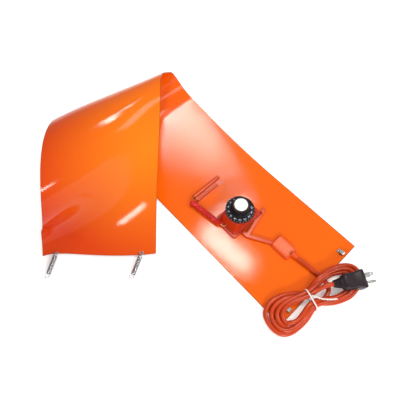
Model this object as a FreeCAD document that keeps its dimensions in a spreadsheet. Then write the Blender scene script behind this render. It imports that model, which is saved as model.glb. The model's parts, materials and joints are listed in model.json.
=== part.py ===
"""Flexible band heater: a silicone rubber band with a moulded-in element, a dial thermostat and a mains lead.

The band lies with one end flat on the surface and the rest folded over on itself. Everything on its flat
end is placed in band coordinates: x across the band, y along it from its end, z up from the surface.
Lengths are in millimetres and angles in degrees.
"""
import FreeCAD, Part
import math
import os
import Sketcher
from FreeCAD import Placement, Rotation, Vector

# Driving dimensions

DIMENSIONS = {
    # the band and its fold
    "band_width": 200.0,
    "band_length": 960.0,
    "band_thickness": 1.5,
    "fold_angle": 20.5,
    "flat_reach": 220.0,
    "rise_turn": 16.0,
    "rise_left": 173.0,
    "rise_right": 241.0,
    "back_turn": 116.0,
    "back_left": 109.0,
    "back_right": 60.0,
    "wall_left": 51.0,
    "wall_right": 100.0,
    "crown_left": 258.0,
    "crown_right": 70.0,
    "flare_left": 23.0,
    "flare_right": -5.0,
    "flare_length": 150.0,
    "foot_length": 51.0,
    "end_heading": 185.0,
    "end_lift": 3.0,
    # thermostat, placed on the flat end
    "dial_across": -13.5,
    "dial_along": 183.3,
    "flange_width": 75.0,
    "flange_depth": 53.0,
    "flange_thickness": 2.0,
    "flange_radius": 5.0,
    "boot_foot_width": 62.0,
    "boot_foot_depth": 42.0,
    "boot_top_width": 47.0,
    "boot_top_depth": 37.0,
    "boot_radius": 6.0,
    "boot_height": 29.5,
    "boot_wall": 2.0,
    "block_width": 34.0,
    "block_depth": 27.0,
    "block_floor": 2.0,
    "bracket_width": 38.0,
    "bracket_depth": 29.0,
    "bracket_thickness": 1.2,
    "screw_radius": 1.5,
    "screw_head_radius": 2.6,
    "screw_head_height": 1.1,
    "screw_length": 8.0,
    "screw_spacing": 26.0,
    "cup_radius": 8.0,
    "cup_height": 3.0,
    "collar_radius": 5.0,
    "collar_flange_radius": 7.5,
    "nut_flats": 14.0,
    "nut_thickness": 2.2,
    "shaft_radius": 3.0,
    "shaft_flat": 1.9,
    "shaft_length": 44.5,
    "running_clearance": 0.05,
    "fit_clearance": 0.1,
    # dial
    "skirt_radius": 26.5,
    "skirt_rim": 2.2,
    "skirt_rise": 2.6,
    "skirt_gap": 0.8,
    "skirt_recess_radius": 20.0,
    "skirt_wall": 2.0,
    "grip_radius": 15.5,
    "grip_top_radius": 14.6,
    "grip_height": 17.0,
    "grip_rim": 1.2,
    "flute_radius": 1.3,
    "flute_count": 20,
    "cap_radius": 13.0,
    "cap_recess": 1.6,
    "cap_thickness": 3.0,
    "cap_edge": 0.8,
    # sensing line
    "bulb_radius": 2.25,
    "bulb_length": 56.0,
    "bulb_across": -17.0,
    "bulb_along": 269.0,
    "ridge_wall": 1.2,
    "ridge_floor": 0.5,
    "long_ridge_length": 65.0,
    "short_ridge_length": 52.0,
    "short_ridge_radius": 2.7,
    "ridge_spacing": 10.0,
    "sensor_pad_thickness": 0.8,
    "sensor_pad_margin": 4.0,
    "line_radius": 0.9,
    "line_bend": 3.0,
    "line_drop": 6.0,
    "line_lead_in": 10.0,
    "sensor_lift": 0.4,
    "sleeve_radius": 5.4,
    "sleeve_groove": 1.2,
    "sleeve_bore": 1.6,
    "sleeve_pitch": 3.2,
    "sleeve_start_across": -50.0,
    "sleeve_start_along": 196.5,
    "sleeve_end_across": -58.3,
    "sleeve_end_along": 262.0,
    # lead cover and patch
    "lead_corner_across": -29.0,
    "lead_corner_along": 145.3,
    "lead_far_across": 31.0,
    "lead_far_along": 160.2,
    "lead_patch_across": -5.5,
    "lead_patch_along": 105.0,
    "lead_inner_share": 0.62,
    "lead_cover_width": 8.0,
    "lead_cover_height": 4.6,
    "lead_edge": 1.5,
    "lead_channel_width": 4.6,
    "lead_channel_height": 2.0,
    "lead_radius": 0.8,
    "lead_spacing": 2.2,
    "lead_bend": 4.0,
    "patch_across": 3.3,
    "patch_along": 86.0,
    "patch_width": 27.0,
    "patch_depth": 38.0,
    "patch_radius": 5.0,
    "patch_height": 6.0,
    "patch_edge_height": 3.0,
    "patch_bevel": 3.0,
    "patch_pocket_depth": 4.0,
    # mains lead and plug
    "cord_radius": 4.0,
    "cord_end_across": 10.3,
    "cord_end_along": 8.2,
    "hank_across": -33.0,
    "hank_along": -5.0,
    "hank_turn": -12.3,
    "hank_height": 12.5,
    "hank_low_height": 7.0,
    "left_lobe_reach": 41.0,
    "left_lobe_length": 92.0,
    "left_lobe_width": 65.0,
    "left_lobe_shift": 2.0,
    "right_lobe_reach": 61.0,
    "right_lobe_length": 90.0,
    "right_lobe_width": 62.0,
    "right_lobe_shift": -4.2,
    "waist_length": 46.0,
    "waist_width": 36.0,
    "waist_shift": -1.6,
    "tie_width": 3.6,
    "tie_thickness": 0.6,
    "tie_end_radius": 0.9,
    "plug_across": 8.7,
    "plug_along": -14.2,
    "plug_turn": -33.7,
    "plug_neck_radius": 6.0,
    "plug_neck_length": 18.0,
    "plug_grip_width": 26.0,
    "plug_grip_height": 21.0,
    "plug_face_width": 31.0,
    "plug_face_height": 25.0,
    "plug_corner": 4.0,
    "plug_length": 52.0,
    "blade_length": 17.0,
    "blade_width": 6.35,
    "blade_thickness": 1.5,
    "blade_spacing": 12.7,
    "blade_hole_radius": 1.6,
    "blade_hole_back": 4.5,
    "blade_offset": 6.0,
    "pin_radius": 2.4,
    "pin_length": 21.0,
    "pin_offset": -6.0,
    # closing springs and their hooks
    "fastener_offset": 74.4,
    "eyelet_inset": 4.0,
    "eyelet_bore": 1.9,
    "eyelet_barrel": 2.4,
    "eyelet_flange": 3.8,
    "eyelet_lip": 0.6,
    "eyelet_gap": 0.3,
    "eyelet_top_gap": 1.0,
    "spring_wire": 0.6,
    "spring_radius": 3.7,
    "spring_leg": 4.0,
    "spring_end_bore": 1.5,
    "spring_end_wall": 2.5,
    "spring_coil_length": 33.0,
    "spring_turns": 27,
    "spring_height": 5.1,
    "spring_loop_tuck": 0.72,
    "spring_eye_sweep": 250.0,
    "left_spring_turn": -12.8,
    "right_spring_turn": -19.5,
    "catch_offset": 72.0,
    "catch_along": 10.5,
    "catch_width": 7.0,
    "catch_length": 13.0,
    "catch_thickness": 0.9,
    "catch_gap": 2.6,
    "catch_tongue": 8.5,
    "rivet_radius": 1.5,
    "rivet_head_radius": 2.6,
    "rivet_head_height": 1.1,
    "rivet_inset": 4.0,
}


class Size:
    """A number together with the sheet expression that it comes from."""

    def __init__(self, text, value):
        self.text = text
        self.value = float(value)

    def join(self, sign, other, value):
        other_text = other.text if isinstance(other, Size) else repr(float(other))
        return Size("(%s %s %s)" % (self.text, sign, other_text), value)

    def __add__(self, other):
        return self.join("+", other, self.value + number(other))

    def __sub__(self, other):
        return self.join("-", other, self.value - number(other))

    def __mul__(self, other):
        return self.join("*", other, self.value * number(other))

    def __truediv__(self, other):
        return self.join("/", other, self.value / number(other))

    def __neg__(self):
        return Size("(0 - %s)" % self.text, -self.value)


def number(size):
    """The plain number of a size."""
    return size.value if isinstance(size, Size) else float(size)


class Sizes:
    """The sheet's sizes by name."""

    def __init__(self, sheet):
        self.sheet = sheet

    def __getattr__(self, name):
        return Size("sizes." + name, self.sheet.get(name))


def make_sheet(doc):
    """Write each driving dimension into a cell that bears its name."""
    sheet = doc.addObject("Spreadsheet::Sheet", "sizes")
    for row, (name, value) in enumerate(DIMENSIONS.items(), start=1):
        sheet.set("A%d" % row, name)
        sheet.set("B%d" % row, str(value))
        sheet.setAlias("B%d" % row, name)
    doc.recompute()
    return sheet


doc = FreeCAD.newDocument("band_heater")
sizes = Sizes(make_sheet(doc))
pieces = []


# Helpers

def bind(thing, field, size):
    """Tie a property to the sheet."""
    thing.setExpression(field, size.text)


def new_body(name):
    body = doc.addObject("PartDesign::Body", name)
    body.Label = name
    pieces.append(body)
    return body


def new_sketch(body, name, role="XY_Plane", height=None):
    """A sketch on one of the body's own planes, lifted by a height."""
    plane = [item for item in body.Origin.OriginFeatures if item.Role == role][0]
    sketch = body.newObject("Sketcher::SketchObject", name)
    sketch.AttachmentSupport = [(plane, "")]
    sketch.MapMode = "FlatFace"
    if height is not None:
        bind(sketch, "AttachmentOffset.Base.z", height)
    return sketch


def set_point(sketch, edge, end, x, y):
    """Fix the end of an edge at a place measured from the sketch's origin."""
    for kind, size in (("DistanceX", x), ("DistanceY", y)):
        row = sketch.addConstraint(Sketcher.Constraint(kind, edge, end, number(size)))
        if isinstance(size, Size):
            sketch.setExpression("Constraints[%d]" % row, size.text)


def outline(sketch, corners):
    """A closed outline of straight edges through corners."""
    places = [Vector(number(x), number(y), 0) for x, y in corners]
    count = len(places)
    for index in range(count):
        sketch.addGeometry(Part.LineSegment(places[index], places[(index + 1) % count]), False)
    for index in range(count):
        sketch.addConstraint(Sketcher.Constraint("Coincident", index, 2, (index + 1) % count, 1))
        set_point(sketch, index, 1, *corners[index])


def circle(sketch, radius, x=0.0, y=0.0):
    """A circle with its centre at x and y."""
    centre = Vector(number(x), number(y), 0)
    edge = sketch.addGeometry(Part.Circle(centre, Vector(0, 0, 1), number(radius)), False)
    row = sketch.addConstraint(Sketcher.Constraint("Radius", edge, number(radius)))
    sketch.setExpression("Constraints[%d]" % row, radius.text)
    set_point(sketch, edge, 3, x, y)


def rounded_rectangle(sketch, width, depth, radius):
    """A centred rectangle with four equal corner arcs."""
    half_w, half_d, r = number(width) / 2, number(depth) / 2, number(radius)
    corners = ((1, 1, 0), (-1, 1, 90), (-1, -1, 180), (1, -1, 270))
    for sx, sy, start in corners:
        round_edge = Part.Circle(Vector(sx * (half_w - r), sy * (half_d - r), 0), Vector(0, 0, 1), r)
        sketch.addGeometry(Part.ArcOfCircle(round_edge, math.radians(start), math.radians(start + 90)), False)
    for index in range(4):
        start = sketch.Geometry[index].EndPoint
        end = sketch.Geometry[(index + 1) % 4].StartPoint
        sketch.addGeometry(Part.LineSegment(start, end), False)
    for index in range(4):
        line, following = index + 4, (index + 1) % 4
        sketch.addConstraint(Sketcher.Constraint("Tangent", index, 2, line, 1))
        sketch.addConstraint(Sketcher.Constraint("Tangent", line, 2, following, 1))
        sx, sy, _ = corners[index]
        set_point(sketch, index, 3, (width / 2 - radius) * sx, (depth / 2 - radius) * sy)
        row = sketch.addConstraint(Sketcher.Constraint("Radius", index, r))
        sketch.setExpression("Constraints[%d]" % row, radius.text)


def pad(body, sketch, length, backwards=False):
    feature = body.newObject("PartDesign::Pad", sketch.Name + "_pad")
    feature.Profile = sketch
    feature.Reversed = backwards
    bind(feature, "Length", length)
    sketch.Visibility = False
    return feature


def mid_pad(body, sketch, length):
    """A pad to both sides of its sketch."""
    feature = pad(body, sketch, length)
    feature.Midplane = True
    return feature


def pocket(body, sketch, length, upwards=True):
    """Cut a sketch's shape out of the body, upwards from the sketch or downwards."""
    feature = body.newObject("PartDesign::Pocket", sketch.Name + "_pocket")
    feature.Profile = sketch
    feature.Reversed = upwards
    bind(feature, "Length", length)
    return feature


def revolve(body, sketch, kind="PartDesign::Revolution"):
    feature = body.newObject(kind, sketch.Name + "_turned")
    feature.Profile = sketch
    feature.ReferenceAxis = (sketch, ["V_Axis"])
    feature.Angle = 360.0
    return feature


def loft(body, sketches, kind="PartDesign::AdditiveLoft"):
    feature = body.newObject(kind, sketches[0].Name + "_loft")
    feature.Profile = sketches[0]
    feature.Sections = sketches[1:]
    feature.Ruled = True
    return feature


def edges_at_height(shape, z, tolerance=0.01):
    """Names of the edges that lie wholly at one height."""
    names = []
    for index, edge in enumerate(shape.Edges, start=1):
        box = edge.BoundBox
        if abs(box.ZMin - z) < tolerance and abs(box.ZMax - z) < tolerance:
            names.append("Edge%d" % index)
    return names


def round_edges(body, height, radius, kind="PartDesign::Fillet", field="Radius"):
    """Round or bevel the edges at one height of the body."""
    doc.recompute()
    tip = body.Tip
    feature = body.newObject(kind, body.Name + "_" + kind.split("::")[1].lower())
    feature.Base = (tip, edges_at_height(tip.Shape, number(height)))
    bind(feature, field, radius)
    return feature


def add_feature(name, shape, placement):
    """A sub-part whose shape is worked out from the sheet's values."""
    piece = doc.addObject("Part::Feature", name)
    piece.Label = name
    piece.Shape = shape
    piece.Placement = placement
    pieces.append(piece)
    return piece


def primitive(kind, name, **fields):
    """One of the basic solids with its sizes tied to the sheet."""
    solid = doc.addObject("Part::" + kind, name)
    for field, size in fields.items():
        if isinstance(size, Size):
            bind(solid, field, size)
        else:
            setattr(solid, field, size)
    return solid


def combine(kind, name, base, tool):
    """A cut or fuse of two solids."""
    solid = doc.addObject("Part::" + kind, name)
    solid.Base = base
    solid.Tool = tool
    return solid


def keep(solid, name, placement):
    """Make a solid a sub-part with its own name and place."""
    solid.Label = name
    solid.Placement = placement
    pieces.append(solid)
    return solid


def tube_path(points, bends):
    """Straight runs joined by tangent arcs, with one bend radius for each inner point."""
    edges = []
    start = points[0]
    for index, bend in enumerate(bends, start=1):
        corner = points[index]
        back = (points[index - 1] - corner).normalize()
        onward = (points[index + 1] - corner).normalize()
        half_turn = (math.pi - back.getAngle(onward)) / 2
        reach = bend * math.tan(half_turn)
        enter = corner + back * reach
        leave = corner + onward * reach
        inward = (back + onward).normalize()
        middle = corner + inward * (bend / math.cos(half_turn) - bend)
        edges.append(Part.LineSegment(start, enter).toShape())
        edges.append(Part.Arc(enter, middle, leave).toShape())
        start = leave
    edges.append(Part.LineSegment(start, points[-1]).toShape())
    return Part.Wire(edges)


def round_tube(points, bends, radius):
    """A round bar along a path."""
    path = tube_path(points, bends)
    direction = points[1] - points[0]
    section = Part.Wire(Part.Circle(points[0], direction, radius).toShape())
    bar = path.makePipeShell([section], True, False)
    if bar.Volume < 0:
        bar.reverse()
    return bar, path


# The fold's shape

width = number(sizes.band_width)
length = number(sizes.band_length)
thickness = number(sizes.band_thickness)
fold = math.radians(number(sizes.fold_angle))
flat_reach = number(sizes.flat_reach)
top = sizes.band_thickness


def bend_values(share):
    """Arc lengths and turns of the fold on one line along the band, from its left edge (0) to its right (1)."""
    def between(name):
        left, right = number(getattr(sizes, name + "_left")), number(getattr(sizes, name + "_right"))
        return left + (right - left) * share

    across = (share - 0.5) * width
    reach = length * math.cos(fold) + across * math.sin(fold) - flat_reach
    foot = number(sizes.foot_length)
    runs = [between("rise"), between("back"), between("wall"), between("crown")]
    rest = reach - foot - sum(runs)
    flare = math.radians(between("flare")) * rest / number(sizes.flare_length)
    turns = [math.radians(number(sizes.rise_turn)), math.radians(number(sizes.back_turn)), 0.0]
    return runs + [rest, foot], turns, flare


def run_along(start, distance, runs, turns):
    """Place and heading after a distance along arcs that start flat."""
    y, z, heading = start, 0.0, 0.0
    left = distance
    for run, turn in zip(runs, turns):
        part = min(left, run)
        turned = turn * part / run
        if abs(turned) < 1e-9:
            y += part * math.cos(heading)
            z += part * math.sin(heading)
        else:
            radius = part / turned
            y += radius * (math.sin(heading + turned) - math.sin(heading))
            z += radius * (math.cos(heading) - math.cos(heading + turned))
        heading += turned
        left -= part
        if left <= 1e-9:
            break
    return y, z, heading


def fold_line(share):
    """The fold on one line along the band, with the crown's turn that brings the end down to its height."""
    runs, turns, flare = bend_values(share)
    end_height = thickness + number(sizes.end_lift)

    def all_turns(crown):
        known = turns + [crown, flare]
        return known + [math.radians(number(sizes.end_heading)) - sum(known)]

    def miss(crown):
        return run_along(0.0, sum(runs), runs, all_turns(crown))[1] - end_height

    # The end comes down as the crown turns more, up to the turn where the band would point straight down
    first, last = 2.08, 2.12
    miss_first, miss_last = miss(first), miss(last)
    for _ in range(30):
        if abs(miss_last) < 1e-7 or abs(miss_last - miss_first) < 1e-12:
            break
        guess = last - miss_last * (last - first) / (miss_last - miss_first)
        guess = min(max(guess, last - 0.6), last + 0.6)
        first, miss_first = last, miss_last
        last, miss_last = guess, miss(guess)
    return runs, all_turns(last)


def band_plan(across, along):
    """Distances from the band's end, along the fold's axis and square to it, before the fold."""
    return (across * math.cos(fold) - along * math.sin(fold),
            across * math.sin(fold) + along * math.cos(fold))


def fold_surfaces(lines, stations):
    """Points of the band's floor side and of its other side beyond the flat stretch."""
    inner, outer = [], []
    for line in range(lines):
        share = line / (lines - 1)
        across = (share - 0.5) * width
        runs, turns = fold_line(share)
        inner_row, outer_row = [], []
        for station in range(stations):
            distance = sum(runs) * station / (stations - 1)
            along = (flat_reach + distance - across * math.sin(fold)) / math.cos(fold)
            x = band_plan(across, along)[0]
            y, z, heading = run_along(flat_reach, distance, runs, turns)
            inner_row.append(Vector(x, y, z))
            outer_row.append(Vector(x, y - thickness * math.sin(heading), z + thickness * math.cos(heading)))
        inner.append(inner_row)
        outer.append(outer_row)
    return inner, outer


def surface_through(rows):
    surface = Part.BSplineSurface()
    surface.interpolate(rows)
    return surface


def border(surface, side):
    """One of the four borders of a surface as an edge."""
    u_low, u_high, v_low, v_high = surface.bounds()
    curves = {"u_low": surface.uIso(u_low), "u_high": surface.uIso(u_high),
              "v_low": surface.vIso(v_low), "v_high": surface.vIso(v_high)}
    return curves[side].toShape()


def closed_between(first, second):
    """The solid between two surfaces that face each other."""
    faces = [first.toShape(), second.toShape()]
    same_way = 1
    for side in ("u_low", "u_high", "v_low", "v_high"):
        faces.append(Part.makeRuledSurface(border(first, side), border(second, side), same_way))
    shell = Part.Shell(Part.makeCompound(faces).Faces)
    shell.sewShape()
    return Part.makeSolid(shell)


def flat_stretch():
    """The band's flat end, cut off where the fold starts."""
    corners = []
    for side, at_end in ((-1, True), (1, True), (1, False), (-1, False)):
        across = side * width / 2
        along = 0.0 if at_end else (flat_reach - across * math.sin(fold)) / math.cos(fold)
        x, y = band_plan(across, along)
        corners.append(Vector(x, y, 0))
    face = Part.Face(Part.makePolygon(corners + corners[:1]))
    return face.extrude(Vector(0, 0, thickness))


FOLD_LINES = 9
FOLD_STATIONS = 37
inner_rows, outer_rows = fold_surfaces(FOLD_LINES, FOLD_STATIONS)
folded = closed_between(surface_through(inner_rows), surface_through(outer_rows))
band_shape = folded.fuse(flat_stretch()).removeSplitter()

# Frames that the pieces are placed in: the part's origin is under the middle of the band's box

band_box = band_shape.BoundBox
to_part = Placement(Vector(-band_box.Center.x, -band_box.Center.y, 0), Rotation())
on_band = to_part * Placement(Vector(0, 0, 0), Rotation(Vector(0, 0, 1), math.degrees(fold)))

left_end, right_end = inner_rows[0][-1], inner_rows[-1][-1]
end_line = right_end - left_end
end_turn = math.degrees(math.atan2(end_line.y, end_line.x))


def seat(x=0.0, y=0.0, z=0.0, turn=0.0, tilt=None):
    """A place on the band's flat end, turned about the vertical and then tilted."""
    placement = on_band * Placement(Vector(number(x), number(y), number(z)), Rotation(Vector(0, 0, 1), turn))
    return placement if tilt is None else placement * Placement(Vector(), tilt)


def on_surface(across, along):
    """Point of the band's floor side beyond the flat end, in the fold's frame."""
    distance = along * math.cos(fold) + across * math.sin(fold) - flat_reach
    y, z, _ = run_along(flat_reach, distance, *fold_line(across / width + 0.5))
    return Vector(band_plan(across, along)[0], y, z)


def square_to_surface(across, along):
    """A place on the band's floor side with x across the band and z towards its other side."""
    point = on_surface(across, along)
    x_axis = on_surface(across + 1.0, along) - point
    normal = x_axis.cross(on_surface(across, along + 1.0) - point)
    return to_part * Placement(point, Rotation(x_axis, normal.cross(x_axis), normal, "ZXY"))


def sensor_seat(x=0.0, height=0.0, tilt=None):
    """A place on the rising stretch, square to the bulb, with x across the band."""
    local = Vector(number(x - sizes.bulb_across), 0, number(sizes.sensor_lift + height))
    placement = square_to_surface(number(sizes.bulb_across), number(sizes.bulb_along)) * Placement(local, Rotation())
    return placement if tilt is None else placement * Placement(Vector(), tilt)


def eyelet_seat(side):
    """The place on the flap's underside, near its end, where an eyelet goes through the band."""
    place = square_to_surface(number(sizes.fastener_offset) * side, length - number(sizes.eyelet_inset))
    return place * Placement(Vector(0, 0, thickness), Rotation(Vector(1, 0, 0), 180))


def spring_seat(side, turn):
    """Above the eyelet's place, upright, with x away from the band."""
    point = eyelet_seat(side).Base
    point.z = number(sizes.spring_height)
    return Placement(point, Rotation(Vector(0, 0, 1), end_turn - 90.0 + turn))


across_band = Rotation(Vector(0, 1, 0), 90)
dial_seat = (sizes.dial_across, sizes.dial_along)


# The band, with holes for its rivets and eyelets

eyelet_radius = sizes.eyelet_barrel + sizes.fit_clearance
rivet_hole = sizes.rivet_radius + sizes.fit_clearance
hole_reach = 20.0
band_shape.transformShape(to_part.Matrix)
for side in (-1, 1):
    drill = Part.makeCylinder(number(eyelet_radius), hole_reach, Vector(0, 0, -hole_reach / 2))
    drill.Placement = eyelet_seat(side)
    band_shape = band_shape.cut(drill)
    drill = Part.makeCylinder(number(rivet_hole), hole_reach, Vector(0, 0, -hole_reach / 2))
    drill.Placement = seat(sizes.catch_offset * side, sizes.catch_along + sizes.rivet_inset)
    band_shape = band_shape.cut(drill)
add_feature("heating_band", band_shape, Placement())


# Thermostat

boot_top = top + sizes.boot_height
boot_ceiling = boot_top - sizes.boot_wall
lead_entry = top + sizes.lead_channel_height + sizes.fit_clearance * 2


def make_thermostat_cover():
    """A thin-walled boot with tapered sides on a flange, open below."""
    body = new_body("thermostat_cover")
    flange = new_sketch(body, "boot_flange", height=top)
    rounded_rectangle(flange, sizes.flange_width, sizes.flange_depth, sizes.flange_radius)
    pad(body, flange, sizes.flange_thickness)
    foot = new_sketch(body, "boot_foot", height=top)
    rounded_rectangle(foot, sizes.boot_foot_width, sizes.boot_foot_depth, sizes.boot_radius)
    head = new_sketch(body, "boot_head", height=boot_top)
    rounded_rectangle(head, sizes.boot_top_width, sizes.boot_top_depth, sizes.boot_radius)
    loft(body, [foot, head])
    round_edges(body, boot_top, sizes.boot_wall)
    wall = sizes.boot_wall * 2
    inner_radius = sizes.boot_radius - sizes.boot_wall
    inner_foot = new_sketch(body, "boot_inner_foot", height=top)
    rounded_rectangle(inner_foot, sizes.boot_foot_width - wall, sizes.boot_foot_depth - wall, inner_radius)
    inner_head = new_sketch(body, "boot_inner_head", height=boot_ceiling)
    rounded_rectangle(inner_head, sizes.boot_top_width - wall, sizes.boot_top_depth - wall, inner_radius)
    loft(body, [inner_foot, inner_head], "PartDesign::SubtractiveLoft")
    hole = new_sketch(body, "boot_collar_hole", height=boot_ceiling - sizes.boot_wall)
    circle(hole, sizes.collar_radius + sizes.fit_clearance)
    pocket(body, hole, sizes.boot_wall * 3)
    doc.recompute()
    return body


def sleeve_ends():
    """The two ends of the sleeve's centre line in band coordinates."""
    height = number(top + sizes.sleeve_radius + sizes.fit_clearance / 2)
    start = Vector(number(sizes.sleeve_start_across), number(sizes.sleeve_start_along), height)
    end = Vector(number(sizes.sleeve_end_across), number(sizes.sleeve_end_along), height)
    return start, end


def line_run_in():
    """Where the copper line leaves the capsule and where it turns into the sleeve's direction."""
    start, end = sleeve_ends()
    axis = (end - start).normalize()
    cup_face = number(sizes.dial_across - sizes.block_width / 2 - sizes.cup_height)
    leave = Vector(cup_face, number(sizes.dial_along), number(cup_middle - sizes.line_drop))
    return leave, start - axis * number(sizes.line_lead_in)


def drilled_cover(body):
    """The boot with its holes for the sleeve and the copper line and its notch for the leads."""
    start, end = sleeve_ends()
    axis = (end - start).normalize()
    inside = start - axis * number(sizes.sleeve_radius) * 2
    hole = primitive("Cylinder", "sleeve_hole", Radius=sizes.sleeve_radius + sizes.fit_clearance,
                     Height=sizes.sleeve_radius * 6)
    local = Vector(inside.x - number(sizes.dial_across), inside.y - number(sizes.dial_along), inside.z)
    hole.Placement = Placement(local, Rotation(Vector(0, 0, 1), axis))
    notch = primitive("Box", "lead_notch", Length=sizes.lead_channel_width, Width=sizes.flange_depth / 2,
                      Height=lead_entry)
    notch_x = number(sizes.lead_corner_across - sizes.dial_across - sizes.lead_channel_width / 2)
    notch.Placement = Placement(Vector(notch_x, -number(sizes.flange_depth) / 2 - 1, 0), Rotation())
    leave, turn = line_run_in()
    drill = primitive("Cylinder", "line_hole", Radius=sizes.line_radius + sizes.fit_clearance)
    drill.Height = (turn - leave).Length
    local = leave - Vector(number(sizes.dial_across), number(sizes.dial_along), 0)
    drill.Placement = Placement(local, Rotation(Vector(0, 0, 1), turn - leave))
    first = combine("Cut", "cover_with_sleeve_hole", body, hole)
    second = combine("Cut", "cover_with_line_hole", first, drill)
    return combine("Cut", "cover_with_openings", second, notch)


shoulder_bottom = boot_ceiling - sizes.screw_head_height - sizes.fit_clearance
bracket_bottom = shoulder_bottom - sizes.bracket_thickness
block_bottom = top + sizes.block_floor
cup_middle = (block_bottom + bracket_bottom) / 2

cover_body = make_thermostat_cover()
pieces.remove(cover_body)
cover_body.Label = "cover_moulding"
keep(drilled_cover(cover_body), "thermostat_cover", seat(*dial_seat))

body = new_body("thermostat_body")
sketch = new_sketch(body, "block_outline", height=block_bottom)
rounded_rectangle(sketch, sizes.block_width, sizes.block_depth, sizes.screw_radius)
pad(body, sketch, bracket_bottom - block_bottom)
sketch = new_sketch(body, "block_shaft_hole", height=block_bottom + sizes.block_floor)
circle(sketch, sizes.shaft_radius + sizes.fit_clearance)
pocket(body, sketch, bracket_bottom - block_bottom)
sketch = new_sketch(body, "block_screw_holes", height=bracket_bottom - sizes.screw_length)
for side in (-1, 1):
    circle(sketch, sizes.screw_radius, sizes.screw_spacing * side / 2)
pocket(body, sketch, sizes.screw_length)
body.Placement = seat(*dial_seat)

body = new_body("thermostat_bracket")
sketch = new_sketch(body, "bracket_outline", height=bracket_bottom)
rounded_rectangle(sketch, sizes.bracket_width, sizes.bracket_depth, sizes.screw_radius)
circle(sketch, sizes.collar_radius)
for side in (-1, 1):
    circle(sketch, sizes.screw_radius, sizes.screw_spacing * side / 2)
pad(body, sketch, sizes.bracket_thickness)
body.Placement = seat(*dial_seat)


def make_bracket_screws():
    """Two screws that hold the switch block under its plate."""
    solids = []
    for side in (-1, 1):
        x = number(sizes.screw_spacing) * side / 2
        low = number(bracket_bottom - sizes.screw_length)
        shank = Part.makeCylinder(number(sizes.screw_radius), number(shoulder_bottom) - low, Vector(x, 0, low))
        head = Part.makeCylinder(number(sizes.screw_head_radius), number(sizes.screw_head_height),
                                 Vector(x, 0, number(shoulder_bottom)))
        solids.append(shank.fuse(head).removeSplitter())
    return Part.makeCompound(solids)


add_feature("bracket_screws", make_bracket_screws(), seat(*dial_seat))

cup = primitive("Cylinder", "capsule", Radius=sizes.cup_radius, Height=sizes.cup_height)
cup_place = Placement(Vector(-number(sizes.block_width) / 2, 0, number(cup_middle)), Rotation(Vector(0, 1, 0), -90))
keep(cup, "diaphragm_cup", seat(*dial_seat) * cup_place)

collar_top = boot_top + sizes.nut_thickness + sizes.fit_clearance

body = new_body("shaft_bushing")
sketch = new_sketch(body, "bushing_stem", height=bracket_bottom)
circle(sketch, sizes.collar_radius)
pad(body, sketch, collar_top - bracket_bottom)
sketch = new_sketch(body, "bushing_flange", height=shoulder_bottom)
circle(sketch, sizes.collar_flange_radius)
pad(body, sketch, boot_ceiling - shoulder_bottom)
sketch = new_sketch(body, "bushing_bore", height=bracket_bottom)
circle(sketch, sizes.shaft_radius + sizes.running_clearance)
pocket(body, sketch, collar_top - bracket_bottom)
body.Placement = seat(*dial_seat)


def hexagon(flats):
    """Corners of a hexagon by its distance over flats."""
    corner = flats / 3 ** 0.5
    half = corner / 2
    return [(corner, 0.0), (half, flats / 2), (-half, flats / 2), (-corner, 0.0), (-half, -flats / 2),
            (half, -flats / 2)]


body = new_body("bushing_nut")
sketch = new_sketch(body, "nut_outline", height=boot_top)
outline(sketch, hexagon(sizes.nut_flats))
pad(body, sketch, sizes.nut_thickness)
sketch = new_sketch(body, "nut_hole", height=boot_top)
circle(sketch, sizes.collar_radius)
pocket(body, sketch, sizes.nut_thickness)
body.Placement = seat(*dial_seat)

# The shaft's flat runs from above the bushing to its top

dial_bottom = collar_top + sizes.skirt_gap
shaft_bottom = block_bottom + sizes.block_floor * 2
shaft_top = shaft_bottom + sizes.shaft_length

body = new_body("control_shaft")
sketch = new_sketch(body, "shaft_round", height=shaft_bottom)
circle(sketch, sizes.shaft_radius)
pad(body, sketch, shaft_top - shaft_bottom)
sketch = new_sketch(body, "shaft_flat_cut", height=dial_bottom)
outline(sketch, [(sizes.shaft_flat, -sizes.shaft_radius * 2), (sizes.shaft_radius * 2, -sizes.shaft_radius * 2),
                 (sizes.shaft_radius * 2, sizes.shaft_radius * 2), (sizes.shaft_flat, sizes.shaft_radius * 2)])
pocket(body, sketch, shaft_top - dial_bottom)
body.Placement = seat(*dial_seat)


# Dial

skirt_top = dial_bottom + sizes.skirt_rim
grip_bottom = skirt_top + sizes.skirt_rise
grip_top = grip_bottom + sizes.grip_height


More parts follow.
